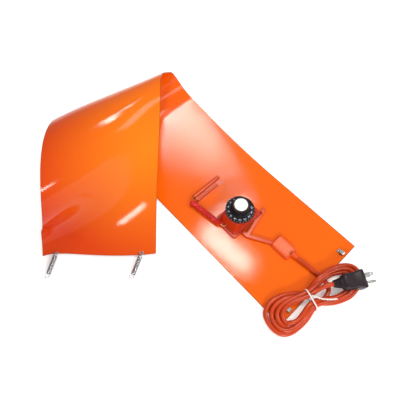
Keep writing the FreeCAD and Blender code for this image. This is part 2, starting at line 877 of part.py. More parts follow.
def make_dial():
    """A turned skirt and grip with finger flutes, a bore with a flat and a recess for the cap."""
    body = new_body("temperature_dial")
    bore = sizes.shaft_radius + sizes.fit_clearance
    recess_floor = grip_top - sizes.cap_recess
    profile = new_sketch(body, "dial_profile", "XZ_Plane")
    outline(profile, [
        (bore, dial_bottom),
        (bore + sizes.skirt_wall, dial_bottom),
        (bore + sizes.skirt_wall, grip_bottom),
        (sizes.grip_radius - sizes.skirt_wall, grip_bottom),
        (sizes.skirt_recess_radius, dial_bottom + sizes.skirt_rim / 2),
        (sizes.skirt_recess_radius, dial_bottom),
        (sizes.skirt_radius, dial_bottom),
        (sizes.skirt_radius, skirt_top),
        (sizes.grip_radius, grip_bottom),
        (sizes.grip_top_radius, grip_top),
        (sizes.cap_radius + sizes.fit_clearance, grip_top),
        (sizes.cap_radius + sizes.fit_clearance, recess_floor),
        (bore, recess_floor)])
    revolve(body, profile)
    flute = new_sketch(body, "dial_flute", height=grip_bottom + sizes.grip_rim)
    circle(flute, sizes.flute_radius, sizes.grip_radius + sizes.flute_radius / 2)
    cut = pocket(body, flute, sizes.grip_height)
    doc.recompute()
    pattern = body.newObject("PartDesign::PolarPattern", "dial_flutes")
    pattern.Originals = [cut]
    pattern.Axis = (flute, ["N_Axis"])
    pattern.Angle = 360.0
    bind(pattern, "Occurrences", sizes.flute_count)
    body.Tip = pattern
    doc.recompute()
    key = new_sketch(body, "dial_key", height=dial_bottom)
    reach = sizes.shaft_radius + sizes.skirt_wall / 2
    near = sizes.shaft_flat + sizes.fit_clearance
    outline(key, [(near, -reach / 2), (reach, -reach / 2), (reach, reach / 2), (near, reach / 2)])
    pad(body, key, shaft_top - dial_bottom)
    return body


make_dial().Placement = seat(*dial_seat)

body = new_body("dial_cap")
cap_bottom = grip_top - sizes.cap_recess
cap_top = cap_bottom + sizes.cap_thickness
sketch = new_sketch(body, "cap_profile", "XZ_Plane")
outline(sketch, [(0.0, cap_bottom), (sizes.cap_radius, cap_bottom), (sizes.cap_radius, cap_top - sizes.cap_edge),
                 (sizes.cap_radius - sizes.cap_edge, cap_top), (0.0, cap_top)])
revolve(body, sketch)
body.Placement = seat(*dial_seat)


# Sensing line

bulb_height = top + sizes.ridge_floor + sizes.bulb_radius + sizes.fit_clearance
bulb_left = sizes.bulb_across - sizes.bulb_length / 2

bulb = primitive("Cylinder", "bulb", Radius=sizes.bulb_radius, Height=sizes.bulb_length)
keep(bulb, "sensing_bulb", sensor_seat(bulb_left, bulb_height, across_band))

ridge_radius = sizes.bulb_radius + sizes.fit_clearance + sizes.ridge_wall
ridge_left = bulb_left - sizes.ridge_wall - sizes.line_radius


def make_sensor_cover():
    """A thin moulded pad with one long hollow ridge over the bulb and a short solid one beside it."""
    pad_depth = sizes.ridge_spacing + sizes.sensor_pad_margin * 2
    plate = primitive("Box", "sensor_pad", Length=sizes.long_ridge_length, Width=pad_depth,
                      Height=sizes.sensor_pad_thickness)
    plate.Placement.Base = Vector(0, number(-sizes.sensor_pad_margin - sizes.ridge_spacing), number(top))
    solid = plate
    ridges = (("long", ridge_radius, 0.0, sizes.long_ridge_length),
              ("short", sizes.short_ridge_radius, -number(sizes.ridge_spacing), sizes.short_ridge_length))
    for name, radius, y, reach in ridges:
        centre = number(top) + number(sizes.ridge_floor) + number(sizes.bulb_radius + sizes.fit_clearance)
        centre = centre if name == "long" else number(top + radius)
        round_top = primitive("Cylinder", name + "_ridge_round", Radius=radius, Height=reach)
        round_top.Placement = Placement(Vector(0, y, centre), across_band)
        wall = primitive("Box", name + "_ridge_wall", Length=reach, Width=radius * 2)
        wall.Height = centre - number(top)
        wall.Placement.Base = Vector(0, y - number(radius), number(top))
        solid = combine("Fuse", name + "_ridge_with_round", solid, round_top)
        solid = combine("Fuse", name + "_ridge_with_wall", solid, wall)
    below = primitive("Box", "sensor_below", Length=sizes.long_ridge_length * 2, Width=pad_depth * 3, Height=top)
    below.Placement.Base = Vector(-number(sizes.long_ridge_length) / 2, -number(pad_depth) * 2, 0)
    solid = combine("Cut", "sensor_trimmed", solid, below)
    bore = primitive("Cylinder", "bulb_bore", Radius=sizes.bulb_radius + sizes.fit_clearance,
                     Height=sizes.bulb_length + sizes.ridge_wall * 2)
    bore.Placement = Placement(Vector(-number(sizes.fit_clearance), 0, number(bulb_height)), across_band)
    return combine("Cut", "sensor_bored", solid, bore)


keep(make_sensor_cover(), "sensor_cover", sensor_seat(ridge_left))


def make_capillary():
    """The copper line from the capsule through the sleeve to the bulb."""
    leave, turn = line_run_in()
    start, end = sleeve_ends()
    bend = number(sizes.line_bend)
    bulb_end = sensor_seat(bulb_left, bulb_height)
    bulb_point = on_band.inverse().multVec(bulb_end.Base)
    before_bulb = on_band.inverse().multVec(bulb_end.multVec(Vector(-bend * 1.6, 0, 0)))
    points = [leave, turn, end, before_bulb, bulb_point]
    return round_tube(points, [bend, bend, bend * 0.6], number(sizes.line_radius))[0]


add_feature("capillary_tube", make_capillary(), on_band)


def make_sleeve():
    """A convoluted sleeve, turned from one wavy outline."""
    start, end = sleeve_ends()
    reach = (end - start).Length
    radius = number(sizes.sleeve_radius)
    groove = radius - number(sizes.sleeve_groove)
    bore = number(sizes.sleeve_bore)
    count = int(reach / number(sizes.sleeve_pitch))
    pitch = reach / count
    points = [Vector(bore, 0, 0), Vector(groove, 0, 0)]
    for ring in range(count):
        low = ring * pitch
        points += [Vector(groove, 0, low + 0.15 * pitch), Vector(radius, 0, low + 0.35 * pitch),
                   Vector(radius, 0, low + 0.65 * pitch), Vector(groove, 0, low + 0.85 * pitch)]
    points += [Vector(groove, 0, reach), Vector(bore, 0, reach), Vector(bore, 0, 0)]
    face = Part.Face(Part.makePolygon(points))
    return face.revolve(Vector(), Vector(0, 0, 1), 360)


sleeve_start, sleeve_end = sleeve_ends()
sleeve_place = Placement(sleeve_start, Rotation(Vector(0, 0, 1), sleeve_end - sleeve_start))
add_feature("capillary_sleeve", make_sleeve(), on_band * sleeve_place)


# Leads between thermostat, element and mains lead

lead_corner = Vector(number(sizes.lead_corner_across), number(sizes.lead_corner_along), 0)
lead_far = Vector(number(sizes.lead_far_across), number(sizes.lead_far_along), 0)
lead_patch = Vector(number(sizes.lead_patch_across), number(sizes.lead_patch_along), 0)
lead_box = Vector(number(sizes.lead_corner_across), number(sizes.dial_along - sizes.flange_depth / 2), 0)


def strip_along(points, strip_width, height, base):
    """A flat-bottomed strip with round ends along a bent line."""
    line = Part.makePolygon(points)
    edge = line.makeOffset2D(strip_width / 2, 0, False, False)
    solid = Part.Face(edge).extrude(Vector(0, 0, height))
    solid.translate(Vector(0, 0, base))
    return solid


def room_over(across, along, room_width, room_depth):
    """A tall block over a rectangle of the flat end."""
    return Part.makeBox(number(room_width), number(room_depth), number(sizes.boot_height),
                        Vector(number(across - room_width / 2), number(along - room_depth / 2), 0))


def patch_room():
    return room_over(sizes.patch_across, sizes.patch_along, sizes.patch_width, sizes.patch_depth)


def flange_room():
    gap = sizes.fit_clearance
    return room_over(sizes.dial_across, sizes.dial_along, sizes.flange_width + gap, sizes.flange_depth + gap)


def make_lead_cover():
    """The moulded V over the leads, with a short leg to the thermostat and a channel inside."""
    height, base = number(sizes.lead_cover_height), number(top)
    cover_width, channel_width = number(sizes.lead_cover_width), number(sizes.lead_channel_width)
    clear = Vector(0, number(sizes.lead_cover_width) / 2, 0)
    legs = [[lead_far, lead_corner, lead_patch], [lead_box - clear, lead_corner, lead_patch]]
    solid = strip_along(legs[0], cover_width, height, base).fuse(strip_along(legs[1], cover_width, height, base))
    solid = solid.removeSplitter()
    edge = number(sizes.lead_edge)
    solid = solid.makeFillet(edge, [e for e in solid.Edges if e.BoundBox.ZMin > base + height - 0.01])
    channels = [[lead_far, lead_corner, lead_patch], [lead_box + clear, lead_corner, lead_patch]]
    for leg in channels:
        solid = solid.cut(strip_along(leg, channel_width, number(sizes.lead_channel_height), base))
    return solid.cut(patch_room()).cut(flange_room())


add_feature("lead_cover", make_lead_cover(), on_band)


def make_leads():
    """One lead from the thermostat to the patch and one to the element's end, side by side."""
    height = number(top + sizes.lead_radius + sizes.fit_clearance)
    aside = number(sizes.lead_spacing) / 2
    bend = number(sizes.lead_bend)
    inner = Vector(0, number(sizes.flange_depth) / 4, 0)
    runs = []
    element_end = lead_corner + (lead_far - lead_corner) * number(sizes.lead_inner_share)
    for offset, far in ((-aside, lead_patch), (aside, element_end)):
        side = Vector(offset, 0, height)
        points = [lead_box + inner + side, lead_corner + side, far + Vector(0, 0, height)]
        lead = round_tube(points, [bend * 0.6], number(sizes.lead_radius))[0]
        runs.append(lead.cut(patch_room()))
    return Part.makeCompound(runs)


add_feature("heater_leads", make_leads(), on_band)

# Patch where the mains lead is joined

patch_front = sizes.patch_along - sizes.patch_depth / 2
cord_height = top + sizes.cord_radius


def make_patch():
    """A low moulded block with bevelled edges, with a pocket for the lead's end."""
    body = new_body("cord_patch")
    base = new_sketch(body, "patch_outline", height=top)
    rounded_rectangle(base, sizes.patch_width, sizes.patch_depth, sizes.patch_radius)
    pad(body, base, sizes.patch_edge_height)
    bevel = sizes.patch_bevel * 2
    low = new_sketch(body, "patch_shoulder", height=top + sizes.patch_edge_height)
    rounded_rectangle(low, sizes.patch_width, sizes.patch_depth, sizes.patch_radius)
    high = new_sketch(body, "patch_top", height=top + sizes.patch_height)
    rounded_rectangle(high, sizes.patch_width - bevel, sizes.patch_depth - bevel,
                      sizes.patch_radius - sizes.patch_bevel / 2)
    loft(body, [low, high])
    return body


def cord_start():
    """Where the mains lead's jacket starts inside the patch."""
    return Vector(number(sizes.patch_across) + 1.0, number(patch_front + sizes.patch_pocket_depth),
                  number(cord_height))


patch_body = make_patch()
pieces.remove(patch_body)
patch_body.Label = "patch_moulding"
cord_end = Vector(number(sizes.cord_end_across), number(sizes.cord_end_along), number(cord_height))
cord_axis = (cord_end - cord_start()).normalize()
pocket_tool = primitive("Cylinder", "patch_pocket", Radius=sizes.cord_radius + sizes.fit_clearance,
                        Height=sizes.patch_depth)
pocket_base = cord_start() - Vector(number(sizes.patch_across), number(sizes.patch_along), 0)
pocket_tool.Placement = Placement(pocket_base, Rotation(Vector(0, 0, 1), cord_axis))
keep(combine("Cut", "patch_with_pocket", patch_body, pocket_tool), "cord_patch",
     seat(sizes.patch_across, sizes.patch_along))


# Hank of the mains lead

hank_bottom = top + sizes.tie_thickness + sizes.fit_clearance
hank_place = seat(sizes.hank_across, sizes.hank_along, 0.0, number(sizes.hank_turn))


def lobe(reach, shift, lobe_length, lobe_width, height):
    """One loop of the figure of eight as a flat oval block."""
    oval = Part.Ellipse(Vector(reach, shift, 0), lobe_length / 2, lobe_width / 2)
    face = Part.Face(Part.Wire(oval.toShape()))
    solid = face.extrude(Vector(0, 0, height))
    solid.translate(Vector(0, 0, number(top)))
    return solid


def catch_room():
    """Room under the left loop for the hook that it lies on."""
    gap = number(sizes.rivet_head_height)
    room = Part.makeBox(number(sizes.catch_width) + 2 * gap, number(sizes.catch_length) + 2 * gap,
                        number(top + sizes.catch_thickness * 2 + sizes.catch_gap) + gap / 2)
    room.Placement = Placement(Vector(-number(sizes.catch_width) / 2 - gap, -number(sizes.catch_length) / 2 - gap, 0),
                               Rotation())
    on_hank = Placement(Vector(number(sizes.hank_across), number(sizes.hank_along), 0),
                        Rotation(Vector(0, 0, 1), number(sizes.hank_turn)))
    at_catch = Placement(Vector(-number(sizes.catch_offset), number(sizes.catch_along), 0), Rotation())
    room.Placement = on_hank.inverse() * at_catch * room.Placement
    return room


def make_hank():
    """The outer shape of the tied lead: two loops and a waist."""
    low = number(sizes.hank_low_height)
    left = lobe(-number(sizes.left_lobe_reach), number(sizes.left_lobe_shift), number(sizes.left_lobe_length),
                number(sizes.left_lobe_width), low)
    right = lobe(number(sizes.right_lobe_reach), number(sizes.right_lobe_shift),
                 number(sizes.right_lobe_length), number(sizes.right_lobe_width), low)
    waist_width = number(sizes.waist_width)
    corner = Vector(-number(sizes.waist_length) / 2, number(sizes.waist_shift) - waist_width / 2,
                    number(hank_bottom))
    waist = Part.makeBox(number(sizes.waist_length), waist_width, number(top + sizes.hank_height - hank_bottom),
                         corner)
    gap = number(sizes.tie_width) * 2
    slot = Part.makeBox(gap, waist_width * 4, number(sizes.hank_height) * 3,
                        Vector(-gap / 2, -waist_width * 2, -number(sizes.hank_height)))
    loops = left.fuse(right).cut(slot)
    hank = loops.fuse(waist).removeSplitter()
    return hank.cut(catch_room())


hank_shape = make_hank()
add_feature("cord_hank", hank_shape, hank_place)
hank_on_band = hank_shape.copy()
hank_on_band.Placement = Placement(Vector(number(sizes.hank_across), number(sizes.hank_along), 0),
                                   Rotation(Vector(0, 0, 1), number(sizes.hank_turn)))


def make_cord():
    """The straight stretch from the patch to the hank."""
    start = cord_start()
    reach = (cord_end - start).Length
    tube = Part.makeCylinder(number(sizes.cord_radius), reach, start, cord_axis)
    return tube.cut(hank_on_band)


add_feature("power_cord", make_cord(), on_band)


def make_twist_tie():
    """A ribbon round the waist with its two ends twisted together."""
    gap = number(sizes.fit_clearance)
    inner_w = number(sizes.waist_width) + 2 * gap
    inner_h = number(sizes.hank_height + top - hank_bottom) + 2 * gap
    ribbon = number(sizes.tie_thickness)
    tie_width = number(sizes.tie_width)
    low = number(hank_bottom) - gap
    middle = number(sizes.waist_shift)
    outer = Part.makeBox(tie_width, inner_w + 2 * ribbon, inner_h + 2 * ribbon,
                         Vector(-tie_width / 2, middle - inner_w / 2 - ribbon, low - ribbon))
    inner = Part.makeBox(tie_width * 2, inner_w, inner_h, Vector(-tie_width, middle - inner_w / 2, low))
    loop = outer.cut(inner)
    crest = low + inner_h + ribbon
    end_radius = number(sizes.tie_end_radius)
    points = [Vector(0, 2, crest + end_radius - 0.2), Vector(9, -4, crest + end_radius + 0.3),
              Vector(20, -9, crest + end_radius + 0.1), Vector(32, -11, crest + end_radius - 1.0)]
    ends = round_tube(points, [6.0, 8.0], end_radius)[0]
    return loop.fuse(ends).removeSplitter()


add_feature("twist_tie", make_twist_tie(), hank_place)


# Plug

plug_height = top + sizes.hank_low_height + sizes.plug_face_height / 2 + sizes.fit_clearance
plug_place = seat(sizes.plug_across, sizes.plug_along, plug_height, number(sizes.plug_turn), across_band)


def make_plug():
    """A moulded plug: a round neck that grows into a flat-sided grip and face."""
    body = new_body("plug_body")
    neck_size = sizes.plug_neck_radius * 2
    sections = (("plug_neck", 0.0, neck_size, neck_size, sizes.plug_neck_radius - sizes.fit_clearance),
                ("plug_neck_end", sizes.plug_neck_length * 0.6, neck_size * 1.15, neck_size * 1.25,
                 sizes.plug_corner),
                ("plug_grip", sizes.plug_neck_length, sizes.plug_grip_height, sizes.plug_grip_width,
                 sizes.plug_corner),
                ("plug_face", sizes.plug_length, sizes.plug_face_height, sizes.plug_face_width,
                 sizes.plug_corner))
    sketches = []
    for name, reach, tall, wide, radius in sections:
        sketch = new_sketch(body, name, height=reach if isinstance(reach, Size) else None)
        rounded_rectangle(sketch, tall, wide, radius)
        sketches.append(sketch)
    loft(body, sketches)
    return body


make_plug().Placement = plug_place


def make_blades():
    """Two flat blades, one above the other, each with a hole near its rounded tip."""
    blades = []
    face = number(sizes.plug_length)
    blade_width, blade_length = number(sizes.blade_width), number(sizes.blade_length)
    blade_thickness = number(sizes.blade_thickness)
    offset = number(sizes.blade_offset)
    for side in (-1, 1):
        x = side * number(sizes.blade_spacing) / 2 - blade_thickness / 2
        blade = Part.makeBox(blade_thickness, blade_width, blade_length,
                             Vector(x, offset - blade_width / 2, face))
        tips = [e for e in blade.Edges if e.BoundBox.ZMin > face + blade_length - 0.01
                and e.BoundBox.XMax - e.BoundBox.XMin > blade_thickness / 2]
        blade = blade.makeChamfer(blade_width / 4, tips)
        hole = Part.makeCylinder(number(sizes.blade_hole_radius), blade_thickness * 3,
                                 Vector(x - blade_thickness, offset,
                                        face + blade_length - number(sizes.blade_hole_back)), Vector(1, 0, 0))
        blades.append(blade.cut(hole))
    return Part.makeCompound(blades)


add_feature("plug_blades", make_blades(), plug_place)

body = new_body("ground_pin")
sketch = new_sketch(body, "pin_profile", "XZ_Plane")
pin_tip = sizes.plug_length + sizes.pin_length
outline(sketch, [(0.0, sizes.plug_length), (sizes.pin_radius, sizes.plug_length),
                 (sizes.pin_radius, pin_tip - sizes.pin_radius),
                 (sizes.pin_radius * 0.7, pin_tip - sizes.pin_radius * 0.3), (0.0, pin_tip)])
revolve(body, sketch)
body.Placement = plug_place * Placement(Vector(0, number(sizes.pin_offset), 0), Rotation())


def tie_room():
    """The side of the hank up to the tie's right edge, as a block in band coordinates."""
    reach = number(sizes.waist_length)
    edge = number(sizes.tie_width) / 2 + number(sizes.fit_clearance)
    room = Part.makeBox(reach, reach * 2, reach, Vector(edge - reach, -reach, 0))
    room.Placement = Placement(Vector(number(sizes.hank_across), number(sizes.hank_along), 0),
                               Rotation(Vector(0, 0, 1), number(sizes.hank_turn)))
    return room


def make_cord_tail():
    """The last stretch of the lead, out of the hank's top and into the plug's neck."""
    neck = Vector(number(sizes.plug_across), number(sizes.plug_along), number(plug_height))
    turn = math.radians(number(sizes.plug_turn))
    forward = Vector(math.cos(turn), math.sin(turn), 0)
    points = [neck + forward * -50 + Vector(-2.5, -8.5, -9.5), neck + forward * -33 + Vector(-1.5, -3.5, -6.0),
              neck + forward * -16 + Vector(0, 0, -0.8), neck]
    bends = []
    for index in (1, 2):
        back = points[index - 1] - points[index]
        onward = points[index + 1] - points[index]
        half_turn = (math.pi - back.getAngle(onward)) / 2
        bends.append(0.45 * min(back.Length, onward.Length) / math.tan(half_turn))
    shape, path = round_tube(points, bends, number(sizes.cord_radius))
    section = math.pi * number(sizes.cord_radius) ** 2
    print("cord_tail radii", [round(bend, 1) for bend in bends], "volume over section times length",
          round(shape.Volume / (section * path.Length), 4))
    return shape.cut(hank_on_band).cut(tie_room())


add_feature("cord_tail", make_cord_tail(), on_band)


# Springs with their eyelets

def make_eyelet():
    """A barrel through the band with a lip on each side."""
    bore, barrel = number(sizes.eyelet_bore), number(sizes.eyelet_barrel)
    flange, lip = number(sizes.eyelet_flange), number(sizes.eyelet_lip)
    gap = number(sizes.eyelet_gap)
    high = thickness + number(sizes.eyelet_top_gap)
    corners = [Vector(bore, 0, -gap - lip), Vector(flange, 0, -gap - lip), Vector(flange, 0, -gap),
               Vector(barrel, 0, -gap), Vector(barrel, 0, high), Vector(flange, 0, high),
               Vector(flange, 0, high + lip), Vector(bore, 0, high + lip)]
    face = Part.Face(Part.makePolygon(corners + corners[:1]))
    return face.revolve(Vector(), Vector(0, 0, 1), 360)


def make_spring():
    """A close-wound extension spring: x runs away from the band, and its inner loop passes x = 0 upright.

    The coil is turned as a ribbed tube, with thicker walls at its ends where the loops' wire goes in.
    """
    wire, radius = number(sizes.spring_wire), number(sizes.spring_radius)
    leg, coil = number(sizes.spring_leg), number(sizes.spring_coil_length)
    turns = int(number(sizes.spring_turns))
    start = radius + leg
    pitch = coil / turns
    end_bore, end_wall = number(sizes.spring_end_bore), number(sizes.spring_end_wall)
    points = [Vector(start, 0, end_bore)]
    for turn in range(turns):
        low = start + turn * pitch
        points += [Vector(low, 0, radius + wire * 0.45), Vector(low + pitch / 2, 0, radius + wire)]
    points += [Vector(start + coil, 0, radius + wire * 0.45), Vector(start + coil, 0, end_bore),
               Vector(start + coil - end_wall, 0, end_bore), Vector(start + coil - end_wall, 0, radius - wire),
               Vector(start + end_wall, 0, radius - wire), Vector(start + end_wall, 0, end_bore)]
    face = Part.Face(Part.makePolygon(points + points[:1]))
    solid = face.revolve(Vector(), Vector(1, 0, 0), 360)
    sweep = math.radians(number(sizes.spring_eye_sweep))
    loops = ((start, -1, Vector(0, 0, 1)), (start + coil, 1, Vector(0, 1, 0)))
    for end, way, side in loops:
        tuck = number(sizes.spring_loop_tuck)
        centre = Vector(end + way * leg, 0, 0) - side * tuck
        outward = Vector(way, 0, 0)

        def on_loop(angle):
            return centre + side * radius * math.cos(angle) + outward * radius * math.sin(angle)

        tucked = Vector(end - way * end_wall * 0.7, 0, 0) + side * (radius - tuck)
        path = Part.Wire([Part.LineSegment(tucked, on_loop(0)).toShape(),
                          Part.Arc(on_loop(0), on_loop(sweep / 2), on_loop(sweep)).toShape()])
        section = Part.Wire(Part.Circle(tucked, outward, wire).toShape())
        solid = solid.fuse(path.makePipeShell([section], True, False))
    return solid.removeSplitter()


spring_shape = make_spring()
spring_sides = (("left", -1, sizes.left_spring_turn), ("right", 1, sizes.right_spring_turn))
for name, side, turn in spring_sides:
    add_feature(name + "_eyelet", make_eyelet(), eyelet_seat(side))
    place = spring_seat(side, number(turn))
    add_feature(name + "_spring", spring_shape.copy(), place)
    reach = sizes.spring_coil_length + sizes.spring_radius + sizes.spring_leg * 2
    eye = place.multVec(Vector(number(reach), -number(sizes.spring_loop_tuck), 0))
    print(name, "spring turns about", [round(c, 2) for c in place.Base], "its free eye is at",
          [round(c, 2) for c in eye])


# Catches at the band's other end

for name, side in (("left", -1), ("right", 1)):
    body = new_body(name + "_catch")
    sketch = new_sketch(body, name + "_catch_profile", "YZ_Plane")
    plate = sizes.catch_thickness
    low = top
    high = top + plate * 2 + sizes.catch_gap
    end = -sizes.catch_length / 2
    bulge = plate + sizes.catch_gap / 2
    outline(sketch, [
        (end + bulge, low), (sizes.catch_length / 2, low), (sizes.catch_length / 2, low + plate),
        (end + bulge, low + plate), (end + plate, low + plate + sizes.catch_gap / 2),
        (end + bulge, high - plate), (end + sizes.catch_tongue, high - plate),
        (end + sizes.catch_tongue, high), (end + bulge, high),
        (end + bulge * 0.3, high - bulge * 0.3), (end, (low + high) / 2), (end + bulge * 0.3, low + bulge * 0.3)])
    mid_pad(body, sketch, sizes.catch_width)
    sketch = new_sketch(body, name + "_catch_hole", height=low)
    circle(sketch, rivet_hole, 0.0, sizes.rivet_inset)
    pocket(body, sketch, plate)
    body.Placement = seat(sizes.catch_offset * side, sizes.catch_along)


def make_catch_rivets():
    """Two dome-headed rivets, flush with the band's floor side."""
    solids = []
    for side in (-1, 1):
        x = number(sizes.catch_offset) * side
        y = number(sizes.catch_along + sizes.rivet_inset)
        plate_top = number(top + sizes.catch_thickness)
        head_radius, head_height = number(sizes.rivet_head_radius), number(sizes.rivet_head_height)
        shank = Part.makeCylinder(number(sizes.rivet_radius), plate_top, Vector(x, y, 0))
        ball_radius = (head_radius ** 2 + head_height ** 2) / (2 * head_height)
        ball = Part.makeSphere(ball_radius, Vector(x, y, plate_top + head_height - ball_radius))
        space = Part.makeCylinder(head_radius, head_height, Vector(x, y, plate_top))
        solids.append(shank.fuse(ball.common(space)).removeSplitter())
    return Part.makeCompound(solids)


add_feature("catch_rivets", make_catch_rivets(), on_band)

print("the dial turns about", [round(c, 3) for c in seat(*dial_seat).Base])
print("the flat end's middle is at", [round(c, 3) for c in on_band.Base])
for name, side in (("left", -1), ("right", 1)):
    print(name, "catch is at", [round(c, 2) for c in seat(sizes.catch_offset * side, sizes.catch_along).Base])


# Check everything and write it out

doc.recompute()
for item in doc.Objects:
    if {"Invalid", "Error"} & set(item.State):
        raise RuntimeError("%s is %s" % (item.Name, item.State))
for piece in pieces:
    if piece.Shape.isNull() or not piece.Shape.isValid():
        raise RuntimeError("%s has no valid shape" % piece.Label)

os.makedirs("parts", exist_ok=True)
for piece in pieces:
    piece.Shape.exportStep(os.path.join("parts", piece.Label + ".step"))
print("%d sub-parts written" % len(pieces))
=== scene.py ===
"""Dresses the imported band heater: folded band, mains lead, plug, tie, dial, boot, springs and stage."""
import json
import math

import bmesh
import bpy
from bpy.props import FloatProperty, FloatVectorProperty, IntProperty, PointerProperty
from mathutils import Matrix, Vector


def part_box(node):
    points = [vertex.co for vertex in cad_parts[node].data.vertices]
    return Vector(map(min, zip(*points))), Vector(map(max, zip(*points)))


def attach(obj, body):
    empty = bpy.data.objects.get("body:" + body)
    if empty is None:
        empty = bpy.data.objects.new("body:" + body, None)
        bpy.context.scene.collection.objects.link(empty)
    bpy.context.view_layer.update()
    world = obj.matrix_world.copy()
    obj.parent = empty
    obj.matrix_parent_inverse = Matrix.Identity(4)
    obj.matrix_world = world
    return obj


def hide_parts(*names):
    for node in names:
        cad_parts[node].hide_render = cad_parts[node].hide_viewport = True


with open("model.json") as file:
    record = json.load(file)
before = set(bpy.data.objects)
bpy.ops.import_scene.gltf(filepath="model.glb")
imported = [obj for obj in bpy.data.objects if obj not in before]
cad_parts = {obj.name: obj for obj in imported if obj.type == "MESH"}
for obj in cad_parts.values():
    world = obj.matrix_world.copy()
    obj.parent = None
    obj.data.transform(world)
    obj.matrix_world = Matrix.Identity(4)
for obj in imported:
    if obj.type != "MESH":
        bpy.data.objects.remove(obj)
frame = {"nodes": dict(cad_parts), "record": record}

bl_info = {
    "name": "Band heater dressing",
    "version": (1, 0, 0),
    "blender": (4, 5, 0),
    "location": "3D View > Sidebar > Heater",
    "description": "Builds the soft and fine pieces of a flexible band heater on its packed frame",
    "category": "Object",
}

MM = 0.001

# The band's fold, as in the part's source (millimetres and degrees)
BAND_WIDTH = 200.0
BAND_LENGTH = 960.0
BAND_THICKNESS = 1.5
FOLD_ANGLE = math.radians(20.5)
FLAT_REACH = 220.0
RUNS = {"rise": (173.0, 241.0), "back": (109.0, 60.0), "wall": (51.0, 100.0), "crown": (258.0, 70.0)}
FLARE = (23.0, -5.0)
FLARE_LENGTH = 150.0
FOOT_LENGTH = 51.0
RISE_TURN = math.radians(16.0)
BACK_TURN = math.radians(116.0)
END_HEADING = math.radians(185.0)
END_LIFT = 3.0
CROWN_GUESSES = (2.08, 2.12)
LARGEST_GUESS_STEP = 0.6

# How the fold's arcs are softened into one another
FOLD_STEP = 2.0
FOLD_BLEND = 25.0
FLAP_BLEND = 80.0
FLAP_BLEND_GROWTH = 0.6

# The middle of the flat end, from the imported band's box
BAND_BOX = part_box("heating_band")
STRIP_END = Vector((BAND_BOX[1].x / MM - BAND_WIDTH / 2 * math.cos(FOLD_ANGLE),
                    BAND_BOX[0].y / MM + BAND_WIDTH / 2 * math.sin(FOLD_ANGLE), 0.0))

# Places on the flat end: across the band, along it from its end
DIAL = (-13.5, 183.3)
PATCH = (3.3, 86.0)
PLUG_NECK = (8.7, -14.2)
PLUG_HEIGHT = 21.1
PLUG_TURN = math.radians(-33.7) + FOLD_ANGLE
TIE_TOP = (-28.9, 11.6)
TIE_BOTTOM = (-40.8, -24.1)


# Frames

def on_band(across, along, height=0.0):
    """A point over the flat end, in metres in the row frame."""
    x = across * math.cos(FOLD_ANGLE) - along * math.sin(FOLD_ANGLE) + STRIP_END.x
    y = across * math.sin(FOLD_ANGLE) + along * math.cos(FOLD_ANGLE) + STRIP_END.y
    return Vector((x, y, height)) * MM


def band_matrix(across, along, turn=0.0):
    """The frame of a place on the flat end, with its origin at the surface that the band lies on."""
    return Matrix.Translation(on_band(across, along)) @ Matrix.Rotation(FOLD_ANGLE + turn, 4, "Z")


def run_along(start, distance, runs, turns):
    """Place and heading after a distance along arcs that start flat."""
    y, z, heading = start, 0.0, 0.0
    left = distance
    for run, turn in zip(runs, turns):
        part = min(left, run)
        turned = turn * part / run
        if abs(turned) < 1e-9:
            y += part * math.cos(heading)
            z += part * math.sin(heading)
        else:
            radius = part / turned
            y += radius * (math.sin(heading + turned) - math.sin(heading))
            z += radius * (math.cos(heading) - math.cos(heading + turned))
        heading += turned
        left -= part
        if left <= 1e-9:
            break
    return y, z


def fold_line(share):
    """Arc lengths and turns of the fold on one line, from the band's left edge (0) to its right (1)."""
    across = (share - 0.5) * BAND_WIDTH
    reach = BAND_LENGTH * math.cos(FOLD_ANGLE) + across * math.sin(FOLD_ANGLE) - FLAT_REACH
    runs = [low + (high - low) * share for low, high in RUNS.values()]
    rest = reach - FOOT_LENGTH - sum(runs)
    flare = math.radians(FLARE[0] + (FLARE[1] - FLARE[0]) * share) * rest / FLARE_LENGTH
    runs += [rest, FOOT_LENGTH]

    def turns(crown):
        known = [RISE_TURN, BACK_TURN, 0.0, crown, flare]
        return known + [END_HEADING - sum(known)]

    def miss(crown):
        return run_along(0.0, sum(runs), runs, turns(crown))[1] - (BAND_THICKNESS + END_LIFT)

    first, last = CROWN_GUESSES
    miss_first, miss_last = miss(first), miss(last)
    for _ in range(30):
        if abs(miss_last) < 1e-7 or abs(miss_last - miss_first) < 1e-12:
            break
        guess = last - miss_last * (last - first) / (miss_last - miss_first)
        guess = min(max(guess, last - LARGEST_GUESS_STEP), last + LARGEST_GUESS_STEP)
        first, miss_first = last, miss_last
        last, miss_last = guess, miss(guess)
    return runs, turns(last)


def heading_at(distance, runs, turns):
    """Heading after a distance along the arcs."""
    heading = 0.0
    for run, turn in zip(runs, turns):
        part = min(max(distance, 0.0), run)
        heading += turn * part / run
        distance -= run
    return heading


def soft_line(share):
    """Even step and places of the fold on one line, with its bends blended into one another."""
    runs, turns = fold_line(share)
    total = sum(runs)
    steps = int(total / FOLD_STEP)
    step = total / steps
    margin = int(FLAP_BLEND / step)
    headings = [heading_at((index + 0.5) * step, runs, turns) for index in range(-margin, steps + margin)]
    flap_start = sum(runs[:4])
    y, z = FLAT_REACH, 0.0
    places = [(y, z)]
    for index in range(steps):
        past = max(0.0, index * step - flap_start + FOLD_BLEND)
        spread = int(min(FOLD_BLEND + past * FLAP_BLEND_GROWTH, FLAP_BLEND) / step)
        window = headings[index + margin - spread:index + margin + spread + 1]
        heading = sum(window) / len(window)
        y += step * math.cos(heading)
        z += step * math.sin(heading)
        places.append((y, z))
    end_y, end_z = run_along(FLAT_REACH, total, runs, turns)
    miss_y, miss_z = end_y - y, end_z - z
    fitted = []
    for index, (y, z) in enumerate(places):
        share = (index / steps) ** 2
        fitted.append((y + miss_y * share, z + miss_z * share))
    return step, fitted


